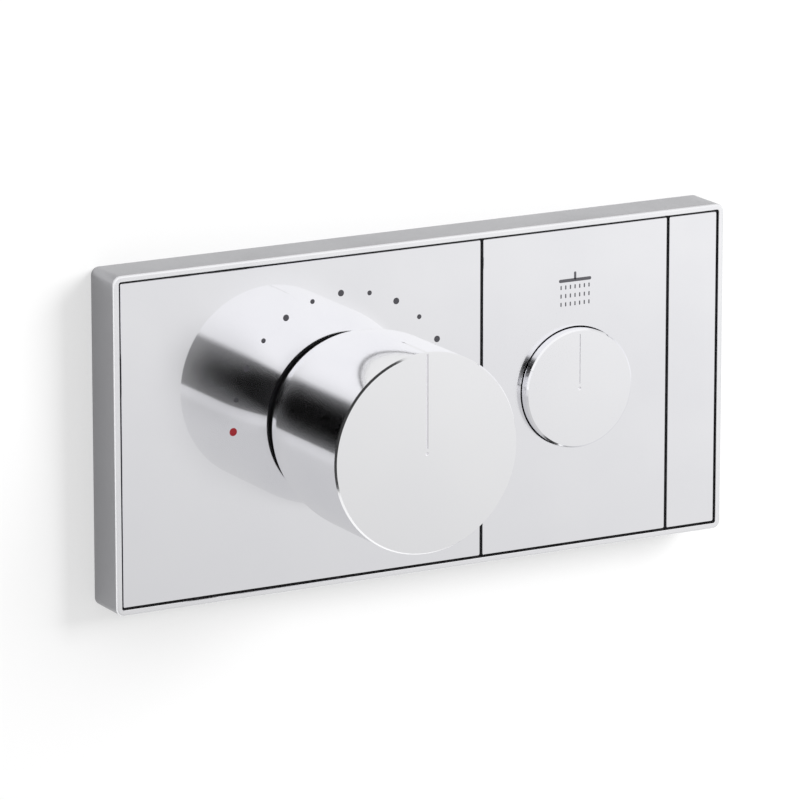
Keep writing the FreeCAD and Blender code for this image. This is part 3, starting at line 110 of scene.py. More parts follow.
@dataclass(frozen=True)
class Finish:
    """A surface finish whose colour, gloss and relief vary with a noise on Object coordinates."""

    NOISE_DETAIL: ClassVar[float] = 4.0
    NOISE_LOW: ClassVar[float] = 0.3
    NOISE_HIGH: ClassVar[float] = 0.7
    HAZE_LEAST: ClassVar[float] = 0.9
    HAZE_MOST: ClassVar[float] = 1.1

    name: str
    colour: Colour
    shade: Colour
    roughness: tuple[float, float]
    grain: Grain
    metallic: float = 0.0
    relief: float = 0.0
    relief_depth: float = 0.02 * MM
    haze: float = 0.0
    haze_roughness: float = 0.5

    def material(self) -> bpy.types.Material:
        """The finish as a node material.

        Returns:
            The new material.
        """
        material = bpy.data.materials.new(self.name)
        material.use_nodes = True
        tree = material.node_tree
        tree.nodes.clear()
        noise = self._noise(tree)
        colour = self._colour(tree, noise)
        shader = self._principled(tree, colour, noise)
        output = tree.nodes.new("ShaderNodeOutputMaterial")
        if self.haze > 0.0:
            mix = tree.nodes.new("ShaderNodeMixShader")
            mix.inputs["Fac"].default_value = self.haze
            tree.links.new(shader.outputs["BSDF"], mix.inputs[1])
            tree.links.new(self._veil(tree, colour, noise).outputs["BSDF"], mix.inputs[2])
            tree.links.new(mix.outputs["Shader"], output.inputs["Surface"])
        else:
            tree.links.new(shader.outputs["BSDF"], output.inputs["Surface"])
        return material

    def _noise(self, tree: Tree) -> Socket:
        """Fractal noise on Object coordinates, stretched as the grain says.

        Args:
            tree: The material's nodes.

        Returns:
            The noise value's socket.
        """
        place = tree.nodes.new("ShaderNodeTexCoord")
        mapping = tree.nodes.new("ShaderNodeMapping")
        mapping.inputs["Scale"].default_value = self.grain.value
        noise = tree.nodes.new("ShaderNodeTexNoise")
        noise.inputs["Scale"].default_value = 1.0
        noise.inputs["Detail"].default_value = self.NOISE_DETAIL
        tree.links.new(place.outputs["Object"], mapping.inputs["Vector"])
        tree.links.new(mapping.outputs["Vector"], noise.inputs["Vector"])
        return noise.outputs["Fac"]

    def _range(self, tree: Tree, noise: Socket, low: float, high: float) -> Socket:
        """The noise carried to a range.

        Args:
            tree: The material's nodes.
            noise: The noise socket.
            low: Result at the noise's usual low.
            high: Result at its usual high.

        Returns:
            The result's socket.
        """
        node = tree.nodes.new("ShaderNodeMapRange")
        node.inputs["From Min"].default_value = self.NOISE_LOW
        node.inputs["From Max"].default_value = self.NOISE_HIGH
        node.inputs["To Min"].default_value = low
        node.inputs["To Max"].default_value = high
        tree.links.new(noise, node.inputs["Value"])
        return node.outputs["Result"]

    def _colour(self, tree: Tree, noise: Socket) -> Socket:
        """The colour between the finish's two tones.

        Args:
            tree: The material's nodes.
            noise: The noise socket.

        Returns:
            The colour's socket.
        """
        mix = tree.nodes.new("ShaderNodeMix")
        mix.data_type = "RGBA"
        mix.inputs["A"].default_value = (*self.colour, 1.0)
        mix.inputs["B"].default_value = (*self.shade, 1.0)
        tree.links.new(self._range(tree, noise, 0.0, 1.0), mix.inputs["Factor"])
        return next(s for s in mix.outputs if s.type == "RGBA")

    def _principled(self, tree: Tree, colour: Socket, noise: Socket) -> bpy.types.Node:
        """The finish's main lobe, with the bump of a grained finish.

        Args:
            tree: The material's nodes.
            colour: The colour's socket.
            noise: The noise socket.

        Returns:
            The shader node.
        """
        shader = tree.nodes.new("ShaderNodeBsdfPrincipled")
        shader.inputs["Metallic"].default_value = self.metallic
        tree.links.new(colour, shader.inputs["Base Color"])
        tree.links.new(self._range(tree, noise, *self.roughness), shader.inputs["Roughness"])
        if self.relief > 0.0:
            bump = tree.nodes.new("ShaderNodeBump")
            bump.inputs["Strength"].default_value = self.relief
            bump.inputs["Distance"].default_value = self.relief_depth
            tree.links.new(noise, bump.inputs["Height"])
            tree.links.new(bump.outputs["Normal"], shader.inputs["Normal"])
        return shader

    def _veil(self, tree: Tree, colour: Socket, noise: Socket) -> bpy.types.Node:
        """The soft second lobe of a hazy finish, without long tails, so that dark reflections stay dark.

        Args:
            tree: The material's nodes.
            colour: The colour's socket.
            noise: The noise socket.

        Returns:
            The shader node.
        """
        least = self.haze_roughness * self.HAZE_LEAST
        most = self.haze_roughness * self.HAZE_MOST
        shader = tree.nodes.new("ShaderNodeBsdfAnisotropic")
        shader.distribution = "BECKMANN"
        tree.links.new(colour, shader.inputs["Color"])
        tree.links.new(self._range(tree, noise, least, most), shader.inputs["Roughness"])
        return shader


class Finishes:
    """Every finish of the object, by the record's slot or by the printed mark it is for."""

    BY_SLOT: dict[str, Finish] = {
        # Bezel sides: rough metal, with a colour under half the rim's that is painted shade of the sides.
        "frame_chrome": Finish(
            "satin_frame_with_painted_shade", (0.42, 0.42, 0.435), (0.40, 0.40, 0.415), (0.28, 0.34), Grain.POLISHED, METAL
        ),
        "plate_chrome": Finish(
            "polished_plate",
            (0.92, 0.92, 0.945),
            (0.89, 0.89, 0.92),
            (0.015, 0.03),
            Grain.POLISHED,
            METAL,
            haze=0.5,
            haze_roughness=0.25,
        ),
        "knob_chrome": Finish(
            "polished_knob",
            (0.975, 0.975, 0.99),
            (0.955, 0.955, 0.975),
            (0.075, 0.095),
            Grain.POLISHED,
            METAL,
        ),
        "button_chrome": Finish(
            "polished_button",
            (0.945, 0.945, 0.965),
            (0.925, 0.925, 0.95),
            (0.06, 0.08),
            Grain.POLISHED,
            METAL,
        ),
        # Near-black moulding. Where it shows in the gap behind the knob, its black is partly painted shade of
        # that gap.
        "black_plastic": Finish(
            "black_moulding_and_gap_shade",
            (0.008, 0.008, 0.009),
            (0.014, 0.014, 0.015),
            (0.45, 0.6),
            Grain.MOULDED,
            relief=0.25,
        ),
        "gasket_foam": Finish(
            "gasket_foam", (0.03, 0.03, 0.032), (0.05, 0.05, 0.052), (0.85, 0.95), Grain.FOAM, relief=0.8
        ),
        "seal_rubber": Finish(
            "seal_rubber", (0.012, 0.012, 0.012), (0.02, 0.02, 0.02), (0.5, 0.65), Grain.MOULDED, relief=0.1
        ),
        "bracket_steel": Finish(
            "plated_bracket", (0.56, 0.57, 0.59), (0.48, 0.49, 0.52), (0.32, 0.45), Grain.BRUSHED, METAL, 0.1
        ),
        "fastener_steel": Finish(
            "turned_steel", (0.58, 0.58, 0.60), (0.48, 0.48, 0.50), (0.22, 0.36), Grain.TURNED, METAL, 0.1
        ),
        "spring_steel": Finish(
            "spring_wire", (0.50, 0.50, 0.52), (0.40, 0.40, 0.42), (0.25, 0.4), Grain.TURNED, METAL
        ),
        "valve_brass": Finish(
            "cast_brass", (0.70, 0.52, 0.24), (0.58, 0.41, 0.18), (0.3, 0.46), Grain.CAST, METAL, 0.35
        ),
        "spindle_brass": Finish(
            "turned_brass", (0.76, 0.59, 0.30), (0.68, 0.51, 0.24), (0.2, 0.32), Grain.TURNED, METAL, 0.1
        ),
        "cartridge_plastic": Finish(
            "grey_moulding", (0.36, 0.37, 0.36), (0.31, 0.32, 0.31), (0.45, 0.6), Grain.MOULDED, relief=0.2
        ),
        "white_plastic": Finish(
            "white_moulding", (0.62, 0.62, 0.59), (0.56, 0.56, 0.53), (0.4, 0.55), Grain.MOULDED, relief=0.15
        ),
        "wax_copper": Finish(
            "drawn_copper", (0.68, 0.36, 0.20), (0.58, 0.29, 0.15), (0.25, 0.38), Grain.TURNED, METAL, 0.1
        ),
        "ceramic": Finish(
            "lapped_ceramic", (0.80, 0.78, 0.73), (0.76, 0.74, 0.69), (0.1, 0.18), Grain.MOULDED
        ),
        "filter_mesh": Finish(
            "woven_mesh", (0.55, 0.55, 0.55), (0.25, 0.25, 0.25), (0.3, 0.5), Grain.WOVEN, METAL, 0.9
        ),
    }
    RIM = Finish(
        "polished_rim",
        (0.95, 0.95, 0.97),
        (0.92, 0.92, 0.945),
        (0.04, 0.07),
        Grain.POLISHED,
        METAL,
        haze=0.3,
    )
    SCALE_INK = Finish("scale_ink", srgb(60, 59, 64), srgb(68, 67, 72), (0.4, 0.5), Grain.MOULDED)
    HOT_INK = Finish("hot_ink", srgb(190, 30, 42), srgb(180, 34, 46), (0.4, 0.5), Grain.MOULDED)
    MARK_INK = Finish("mark_ink", srgb(78, 77, 82), srgb(86, 85, 90), (0.4, 0.5), Grain.MOULDED)
    ENGRAVING = Finish("engraving", srgb(208, 207, 211), srgb(214, 213, 217), (0.4, 0.5), Grain.MOULDED)
    made: dict[str, bpy.types.Material] = {}

    @classmethod
    def use(cls, finish: Finish) -> bpy.types.Material:
        """The finish's material, made at its first use.

        Args:
            finish: The finish.

        Returns:
            Its material.
        """
        if finish.name not in cls.made:
            cls.made[finish.name] = finish.material()
        return cls.made[finish.name]


@dataclass
class Surface:
    """Grid patches of points that become one mesh."""

    points: list[np.ndarray] = field(default_factory=list)
    quads: list[np.ndarray] = field(default_factory=list)
    looks: list[np.ndarray] = field(default_factory=list)
    count: int = 0

    def add(
        self, grid: np.ndarray, closed_path: bool = True, closed_profile: bool = False, look: int = 0
    ) -> None:
        """Joins each point of a grid to its neighbours along both directions.

        Args:
            grid: Points, profile by path by three.
            closed_path: Whether the path's last point joins its first.
            closed_profile: Whether the profile's last row joins its first.
            look: Material index of the patch.
        """
        rows, columns = grid.shape[:2]
        index = self.count + np.arange(rows * columns).reshape(rows, columns)
        if closed_profile:
            index = np.vstack([index, index[:1]])
        if closed_path:
            index = np.hstack([index, index[:, :1]])
        corners = [index[:-1, :-1], index[:-1, 1:], index[1:, 1:], index[1:, :-1]]
        quads = np.stack(corners, axis=-1).reshape(-1, 4)
        self.points.append(grid.reshape(-1, 3))
        self.quads.append(quads)
        self.looks.append(np.full(len(quads), look, dtype=np.int32))
        self.count += rows * columns

    def piece(self, name: str, body: str, slot: str, finishes: list[Finish]) -> bpy.types.Object:
        """The patches as a welded object that rides on a body.

        Args:
            name: The piece's name.
            body: The body that it rides on.
            slot: The record's material slot; not used.
            finishes: The finishes, by material index.

        Returns:
            The new object.
        """
        mesh = bpy.data.meshes.new(name)
        mesh.from_pydata(np.concatenate(self.points).tolist(), [], np.concatenate(self.quads).tolist())
        mesh.polygons.foreach_set("material_index", np.concatenate(self.looks))
        weld = bmesh.new()
        weld.from_mesh(mesh)
        bmesh.ops.remove_doubles(weld, verts=weld.verts, dist=WELD)
        bmesh.ops.dissolve_degenerate(weld, edges=weld.edges, dist=WELD)
        bmesh.ops.recalc_face_normals(weld, faces=weld.faces)
        weld.to_mesh(mesh)
        weld.free()
        mesh.shade_smooth()
        mesh.set_sharp_from_angle(angle=CREASE)
        for finish in finishes:
            mesh.materials.append(Finishes.use(finish))
        piece = bpy.data.objects.new(name, mesh)
        bpy.context.scene.collection.objects.link(piece)
        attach(piece, body)
        LOG.info("%s: %d faces on %s", name, len(mesh.polygons), body)
        return piece


def rounded_path(middle: tuple[float, float], width: float, height: float, corner: float) -> np.ndarray:
    """A rounded rectangle on the panel: corner arcs and straight runs, with the same counts at any size.

    Args:
        middle: Its centre, X and Z.
        width: Its size along X.
        height: Its size along Z.
        corner: Its corner radius.

    Returns:
        Points as X and Z, clockwise from the top right corner.
    """
    arc = np.linspace(0.0, math.pi / 2, CORNER_POINTS)
    run = np.linspace(0.0, 1.0, RUN_POINTS)[1:-1]
    centres = np.array([[1, 1], [1, -1], [-1, -1], [-1, 1]]) * (np.array([width, height]) / 2 - corner)
    start = np.array([0.0, 0.5, 1.0, 1.5]) * math.pi
    angles = arc[None, :] + start[:, None]
    arcs = centres[:, None, :] + corner * np.stack([np.sin(angles), np.cos(angles)], axis=-1)
    ends = np.roll(arcs[:, :1], -1, axis=0)
    runs = arcs[:, -1:] + (ends - arcs[:, -1:]) * run[None, :, None]
    return np.concatenate([arcs, runs], axis=1).reshape(-1, 2) + np.array(middle)


def level(path: np.ndarray, y: float) -> np.ndarray:
    """A path on the panel set at a depth.

    Args:
        path: Points as X and Z.
        y: Their depth.

    Returns:
        Points as X, Y and Z.
    """
    return np.stack([path[:, 0], np.full(len(path), y), path[:, 1]], axis=-1)


def circle_towards(path: np.ndarray, middle: tuple[float, float], radius: float) -> np.ndarray:
    """The circle's points that lie on the rays from its centre to a path's points.

    Args:
        path: Points as X and Z.
        middle: The circle's centre.
        radius: Its radius.

    Returns:
        Points as X and Z, one for each of the path's.
    """
    ray = path - np.array(middle)
    return np.array(middle) + radius * ray / np.linalg.norm(ray, axis=1, keepdims=True)


def rings(angles: np.ndarray, x: float, profile: list[tuple]) -> np.ndarray:
    """A profile of radius and depth turned about the Y line at x: (x + r sin a, y, r cos a).

    Args:
        angles: Angles from the top, clockwise from the front.
        x: Where the axis stands.
        profile: Rows of radius and depth; a radius or depth may differ by angle.

    Returns:
        A grid of points, profile by angle by three.
    """
    radius = np.stack([np.broadcast_to(row[0], angles.shape) for row in profile])
    depth = np.stack([np.broadcast_to(row[1], angles.shape) for row in profile])
    return np.stack([x + radius * np.sin(angles), depth, radius * np.cos(angles)], axis=-1)


def arc_rows(
    middle: tuple[float, float], radius: float, start: float, end: float, steps: int
) -> list[tuple]:
    """Rows of radius and depth along an arc of a profile.

    Args:
        middle: The arc's centre, radius and depth.
        radius: The arc's own radius.
        start: First angle in degrees from the radial direction.
        end: Last angle.
        steps: How many spans.

    Returns:
        The rows, both ends included.
    """
    turn = np.radians(np.linspace(start, end, steps + 1))
    return list(zip(middle[0] + radius * np.cos(turn), middle[1] + radius * np.sin(turn)))


@dataclass
class Panel:
    """The frame and the three plates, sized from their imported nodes."""

    rim: float = 1.8 * MM
    bevel: float = 0.6 * MM
    bevel_rounding: float = 0.35
    corner: float = 2.5 * MM
    fine_edge: float = 0.12 * MM
    ledge: float = 2.5 * MM
    ledge_thick: float = 1.5 * MM
    carrier_back: float = -9.55 * MM
    plate_corner: float = 0.5 * MM
    knob_hole: float = 25.95 * MM
    button_hole: float = 18.95 * MM

    def build(self, knob_x: float, button_x: float) -> None:
        """Makes the frame and the plates.

        Args:
            knob_x: Where the knob's axis stands.
            button_x: Where the button's axis stands.
        """
        self.build_frame()
        self.build_plate("temperature_plate", (knob_x, 0.0), self.knob_hole)
        self.build_plate("outlet_plate", (button_x, 0.0), self.button_hole)
        self.build_plate("end_plate", None, 0.0)

    def build_frame(self) -> None:
        """Carries the bezel's section round the panel: rough metal sides, darker in colour as painted shade,
        a polished rim and the ledge inside.
        """
        low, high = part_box("frame")
        front = low.y
        back = high.y
        ledge_back = self.carrier_back + self.ledge_thick
        rounding = self.bevel * self.bevel_rounding
        side = [(0.0, back), (0.0, front + self.bevel)]
        rim = [
            (0.0, front + self.bevel),
            (rounding, front + rounding),
            (self.bevel, front),
            (self.rim - self.fine_edge, front),
            (self.rim, front + self.fine_edge),
        ]
        groove = [(self.rim, front + self.fine_edge), (self.rim, self.carrier_back)]
        inside = [
            (self.rim, self.carrier_back),
            (self.rim + self.ledge, self.carrier_back),
            (self.rim + self.ledge, ledge_back),
            (self.rim, ledge_back),
            (self.rim, back),
            (0.0, back),
        ]
        surface = Surface()
        for section, look in ((side, 0), (rim, 1), (groove, 1), (inside, 0)):
            surface.add(self._carried(section, high.x - low.x, high.z - low.z), look=look)
        # The sides' finish, whose darker colour is painted shade.
        sides_with_painted_shade = Finishes.BY_SLOT["frame_chrome"]
        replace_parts(surface.piece("bezel", "panel", "frame_chrome", [sides_with_painted_shade, Finishes.RIM]), "frame")

    def _carried(self, section: list[tuple[float, float]], width: float, height: float) -> np.ndarray:
        """A section of the bezel carried round the panel, with smaller corners further in.

        Args:
            section: Rows of inset from the outside and depth.
            width: The panel's size along X.
            height: The panel's size along Z.

        Returns:
            A grid of points, section by path by three.
        """
        grid = []
        for inset, y in section:
            corner = max(self.corner - inset, self.corner - self.rim)
            grid.append(level(rounded_path((0.0, 0.0), width - 2 * inset, height - 2 * inset, corner), y))
        return np.stack(grid)

    def build_plate(self, node: str, hole: tuple[float, float] | None, radius: float) -> None:
        """A flat plate with finely broken edges, and a round hole where it has one.

        Args:
            node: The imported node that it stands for.
            hole: The hole's centre, X and Z, or None.
            radius: The hole's radius.
        """
        low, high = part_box(node)
        middle = ((low.x + high.x) / 2, (low.z + high.z) / 2)
        width = high.x - low.x
        height = high.z - low.z
        front = low.y
        back = high.y
        edge = self.fine_edge
        outer = rounded_path(middle, width, height, self.plate_corner)
        inset = rounded_path(middle, width - 2 * edge, height - 2 * edge, self.plate_corner)
        rows = [level(outer, back), level(outer, front + edge), level(inset, front)]
        surface = Surface()
        if hole is None:
            centre = np.broadcast_to(np.array(middle), outer.shape)
            surface.add(np.stack([level(centre, back), *rows, level(centre, front)]))
        else:
            rows.append(level(circle_towards(outer, hole, radius + edge), front))
            rows.append(level(circle_towards(outer, hole, radius), front + edge))
            rows.append(level(circle_towards(outer, hole, radius), back))
            surface.add(np.stack(rows), closed_profile=True)
        finishes = [Finishes.BY_SLOT["plate_chrome"]]
        piece = surface.piece("front_" + node, "panel", "plate_chrome", finishes)
        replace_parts(piece, node)


@dataclass
class TurnedCap:
    """A turned and polished cap with a flat face, an engraved line and a drilled centre mark."""

    FACE_COLUMNS: ClassVar[int] = 181
    FACE_ROWS: ClassVar[int] = 61
    FINE_STEPS: ClassVar[int] = 33
    FINE_REACH: ClassVar[float] = 0.8 * MM
    FINE_MARGIN: ClassVar[float] = 1.1
    DRAW_STEPS: ClassVar[int] = 16
    DECIMALS: ClassVar[int] = 9
    SUNK_SHARE: ClassVar[float] = 0.9

    node: str
    piece_name: str
    body: str
    slot: str
    wall: float
    face_thick: float
    bevel: float
    bevel_depth: float
    line_width: float
    line_start: float
    line_end: float | None
    rear_radius: float = 0.0
    draw_length: float = 0.0
    depth: float = 0.15 * MM
    dot: float = 0.5 * MM
    dot_slope: float = 0.25 * MM
    slope: float = 0.04 * MM

    def build(self) -> float:
        """Makes the cap.

        Returns:
            Where its axis stands on X.
        """
        low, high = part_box(self.node)
        x = (low.x + high.x) / 2
        radius = (high.x - low.x) / 2
        face = radius - self.bevel
        columns = self._columns(face)
        tops = np.arcsin(np.clip(columns / face, -1.0, 1.0))
        angles = np.concatenate([tops, math.pi - tops[-2:0:-1]])
        runs_out = np.zeros_like(angles)
        if self.line_end is None:
            runs_out = self._line_depth(np.sin(angles) * face) * (np.cos(angles) > 0.0)
        surface = Surface()
        self._add_face(surface, x, face, low.y, columns)
        surface.add(rings(angles, x, self._profile(radius, low.y, high.y, runs_out)))
        finishes = [Finishes.BY_SLOT[self.slot], Finishes.ENGRAVING]
        piece = surface.piece(self.piece_name, self.body, self.slot, finishes)
        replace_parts(piece, self.node)
        return x

    def _columns(self, face: float) -> np.ndarray:
        """Upright lines on the face: even in angle, and close together at the engraving.

        Args:
            face: The face's radius.

        Returns:
            Their X from the axis, in order.
        """
        half = self.line_width / 2
        wide = face * np.sin(np.radians(np.linspace(-90.0, 90.0, self.FACE_COLUMNS)))
        fine = np.linspace(-self.FINE_REACH, self.FINE_REACH, self.FINE_STEPS)
        steps = np.array([-half, -half + self.slope, half - self.slope, half])
        fine = fine[np.min(np.abs(fine[:, None] - steps[None, :]), axis=1) > self.slope / 2]
        wide = wide[np.abs(wide) > self.FINE_REACH * self.FINE_MARGIN]
        return np.sort(np.concatenate([wide, fine, steps]))

    def _line_depth(self, x: np.ndarray) -> np.ndarray:
        """The engraved line's depth across its width: full inside, falling to nothing over its slope.

        Args:
            x: Distance from the line's middle.

        Returns:
            Depth at each.
        """
        return self.depth * np.clip((self.line_width / 2 - np.abs(x)) / self.slope, 0.0, 1.0)

    def _add_face(self, surface: Surface, x: float, face: float, front: float, columns: np.ndarray) -> None:
        """The flat face as upright lines across a disc, sunk by the engraving and the centre mark.

        Args:
            surface: Where the patch goes.
            x: Where the axis stands.
            face: The face's radius.
            front: The face's depth.
            columns: X of each upright line from the axis.
        """
        half_height = np.sqrt(np.maximum(face * face - columns * columns, 0.0))
        start = self.line_start
        end = face * 2 if self.line_end is None else self.line_end
        even = np.linspace(-face, face, self.FACE_ROWS)
        fine = np.linspace(-self.FINE_REACH, self.FINE_REACH, self.FINE_STEPS)
        heights = np.concatenate([even, fine, [start - self.slope, start, end, end + self.slope]])
        heights = np.unique(np.round(heights[np.abs(heights) <= face], self.DECIMALS))
        share = heights / face
        z = share[:, None] * half_height[None, :]
        along = np.clip((z - start + self.slope) / self.slope, 0.0, 1.0)
        along = along * np.clip((end + self.slope - z) / self.slope, 0.0, 1.0)
        line = self._line_depth(columns)[None, :] * along
        reach = np.hypot(columns[None, :], z)
        mark = self.depth * np.clip((self.dot - reach) / self.dot_slope, 0.0, 1.0)
        sunk = np.maximum(line, mark)
        radial = 1.0 + np.where(np.isclose(share, 1.0), 1.0, 0.0)[:, None] * sunk / face
        grid = np.stack([x + columns[None, :] * radial, front + sunk, z * radial], axis=-1)
        surface.add(grid, closed_path=False)
        depth = sunk[:-1, :-1] + sunk[1:, :-1] + sunk[:-1, 1:] + sunk[1:, 1:]
        surface.looks[-1] = (depth.reshape(-1) > self.depth * self.SUNK_SHARE).astype(np.int32)

    def _profile(self, radius: float, front: float, back: float, runs_out: np.ndarray) -> list[tuple]:
        """The cap's section from the face's edge round the side and the rear to the inside of its face.

        Args:
            radius: The cap's radius.
            front: Depth of its face.
            back: Depth of its rear.
            runs_out: Depth of the engraving where it meets each point of the bevel.

        Returns:
            Rows of radius and depth.
        """
        face = radius - self.bevel
        inside = radius - self.wall
        rows: list[tuple] = [(face + runs_out, front + runs_out), (radius, front + self.bevel_depth)]
        if self.draw_length > 0.0:
            draw = radius - self.rear_radius
            arc = (self.draw_length**2 + draw**2) / (2 * draw)
            middle = (radius - arc, back - self.draw_length)
            for span, start, end in ((arc, 0.0, 1.0), (arc - self.wall, 1.0, 0.0)):
                turn = math.degrees(math.asin(self.draw_length / span))
                rows += arc_rows(middle, span, turn * start, turn * end, self.DRAW_STEPS)
        else:
            rows += [(radius, back), (inside, back)]
        inner_face = front + self.face_thick
        return rows + [(inside, inner_face), (0.0, inner_face)]


@dataclass
class PushSpring:
    """The coil that brings the button back; the real one shortens as the button goes in, while this piece
    keeps its rest length.
    """

    node: str = "button_spring"
    joint: str = "flow_push"
    wire: float = 0.6 * MM
    turns: int = 4
    steps: int = 48
    sides: int = 14

    def build(self) -> None:
        """Sweeps a round wire along a helix: (x + R cos a, y0 + rise a, R sin a), closed at both ends."""
        low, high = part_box(self.node)
        x = (low.x + high.x) / 2
        radius = (high.x - low.x) / 2 - self.wire
        first = low.y + self.wire
        rise = (high.y - self.wire - first) / (FULL_TURN * self.turns)
        turn = np.linspace(0.0, FULL_TURN * self.turns, self.steps * self.turns + 1)
        around = np.linspace(0.0, FULL_TURN, self.sides, endpoint=False)[None, :, None]
        outward = np.stack([np.cos(turn), np.zeros_like(turn), np.sin(turn)], axis=-1)
        along = np.stack([-radius * np.sin(turn), np.full_like(turn, rise), radius * np.cos(turn)], axis=-1)
        across = np.cross(along / math.hypot(radius, rise), outward)
        middle = np.stack([x + radius * np.cos(turn), first + rise * turn, radius * np.sin(turn)], axis=-1)
        thickness = self.wire * np.ones(len(turn) + 2)
        thickness[[0, -1]] = 0.0
        rows = np.concatenate([[0], np.arange(len(turn)), [len(turn) - 1]])
        section = outward[rows][:, None] * np.cos(around) + across[rows][:, None] * np.sin(around)
        surface = Surface()
        surface.add(middle[rows][:, None] + thickness[:, None, None] * section)
        finishes = [Finishes.BY_SLOT["spring_steel"]]
        piece = surface.piece("push_spring", "volume_spindle", "spring_steel", finishes)
        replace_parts(piece, self.node)
        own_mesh(piece)


@dataclass
class PrintedMarks:
    """The flat prints on the plates: the temperature scale and the rain-shower mark."""

    scale_middle: tuple[float, float] = (-28.2 * MM, 0.97 * MM)
    scale_radius: float = 37.6 * MM
    scale_start: float = -91.4
    scale_step: float = 15.0
    scale_count: int = 13
    hot: float = 1.25 * MM
    large: float = 1.02 * MM
    small: float = 0.76 * MM
    mark_x: float = 52.3 * MM
    bar_z: float = 33.6 * MM
    bar_radius: float = 0.52 * MM
    bar_reach: float = 5.2 * MM
    stem_z: float = 34.9 * MM
    stem_radius: float = 0.4 * MM
    stem_reach: float = 0.9 * MM
    drop_z: tuple[float, float, float] = (31.5 * MM, 28.8 * MM, 26.2 * MM)
    drop_columns: int = 7
    drop_pitch: float = 1.65 * MM
    drop_radius: float = 0.22 * MM
    drop_reach: float = 0.45 * MM
    spot_sides: int = 32
    thick: float = 0.03 * MM

    def build(self) -> None:
        """Makes the three prints."""
        angles = np.radians(self.scale_start + self.scale_step * np.arange(self.scale_count))
        directions = np.stack([np.sin(angles), np.cos(angles)], axis=-1)
        places = np.array(self.scale_middle) + self.scale_radius * directions
        sizes = np.where(np.arange(self.scale_count) % 2 == 0, self.large, self.small)
        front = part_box("temperature_plate")[0].y
        still = np.zeros_like(places)
        self._print("hot_mark", front, Finishes.HOT_INK, places[:1], np.array([self.hot]), still[:1])
        self._print("temperature_scale", front, Finishes.SCALE_INK, places[1:], sizes[1:], still[1:])
        self._build_shower(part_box("outlet_plate")[0].y)

    def _build_shower(self, front: float) -> None:
        """A shower head from the side: a short stem, a bar and rows of falling drops.

        Args:
            front: The plate's depth.
        """
        columns = (np.arange(self.drop_columns) - self.drop_columns // 2) * self.drop_pitch
        across, down = np.meshgrid(columns, np.array(self.drop_z))
        drops = np.stack([self.mark_x + across.ravel(), down.ravel()], axis=-1)
        head = np.array([[self.mark_x, self.bar_z], [self.mark_x, self.stem_z]])
        places = np.concatenate([drops, head])
        sizes = np.concatenate([np.full(len(drops), self.drop_radius), [self.bar_radius, self.stem_radius]])
        drop_reach = np.broadcast_to(np.array([0.0, self.drop_reach]), drops.shape)
        reach = np.concatenate([drop_reach, [[self.bar_reach, 0.0], [0.0, self.stem_reach]]])
        self._print("shower_mark", front, Finishes.MARK_INK, places, sizes, reach)

    def _print(
        self, name: str, front: float, ink: Finish, places: np.ndarray, sizes: np.ndarray, reach: np.ndarray
    ) -> None:
        """Thin raised spots of ink, each a circle drawn out both ways along a line.

        Args:
            name: The piece's name.
            front: The plate's depth.
            ink: The finish.
            places: Each spot's middle, X and Z.
            sizes: Each spot's radius.
            reach: How far each spot's ends are drawn out along X and Z.
        """
        half_side = math.pi / self.spot_sides
        turn = np.linspace(0.0, FULL_TURN, self.spot_sides, endpoint=False) + half_side
        round_spot = np.stack([np.sin(turn), np.cos(turn)], axis=-1)
        raised = front - self.thick
        surface = Surface()
        for place, size, ends in zip(places, sizes, reach):
            outline = place + size * round_spot + np.sign(round_spot) * ends
            middle = np.broadcast_to(place, outline.shape)
            rows = [(middle, front), (outline, front), (outline, raised), (middle, raised)]
            surface.add(np.stack([level(path, y) for path, y in rows]))
        surface.piece(name, "panel", "black_plastic", [ink]).visible_glossy = False


class Dressing:
    """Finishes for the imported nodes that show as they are."""

    @staticmethod
    def dress() -> None:
        """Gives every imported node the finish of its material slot."""
        slots = {part["node"]: part["material_slot"] for part in frame["record"]["subparts"]}
        for node, piece in frame["nodes"].items():
            finish = Finishes.BY_SLOT[slots[node]]
            piece.data.materials.clear()
            piece.data.materials.append(Finishes.use(finish))
        LOG.info("dressed %d packed nodes", len(slots))


@dataclass(frozen=True)
class Ramp:
    """A smooth step of a value, from low at its start to high at its end."""

    start: float
    end: float
    low: float = 0.0
    high: float = 1.0


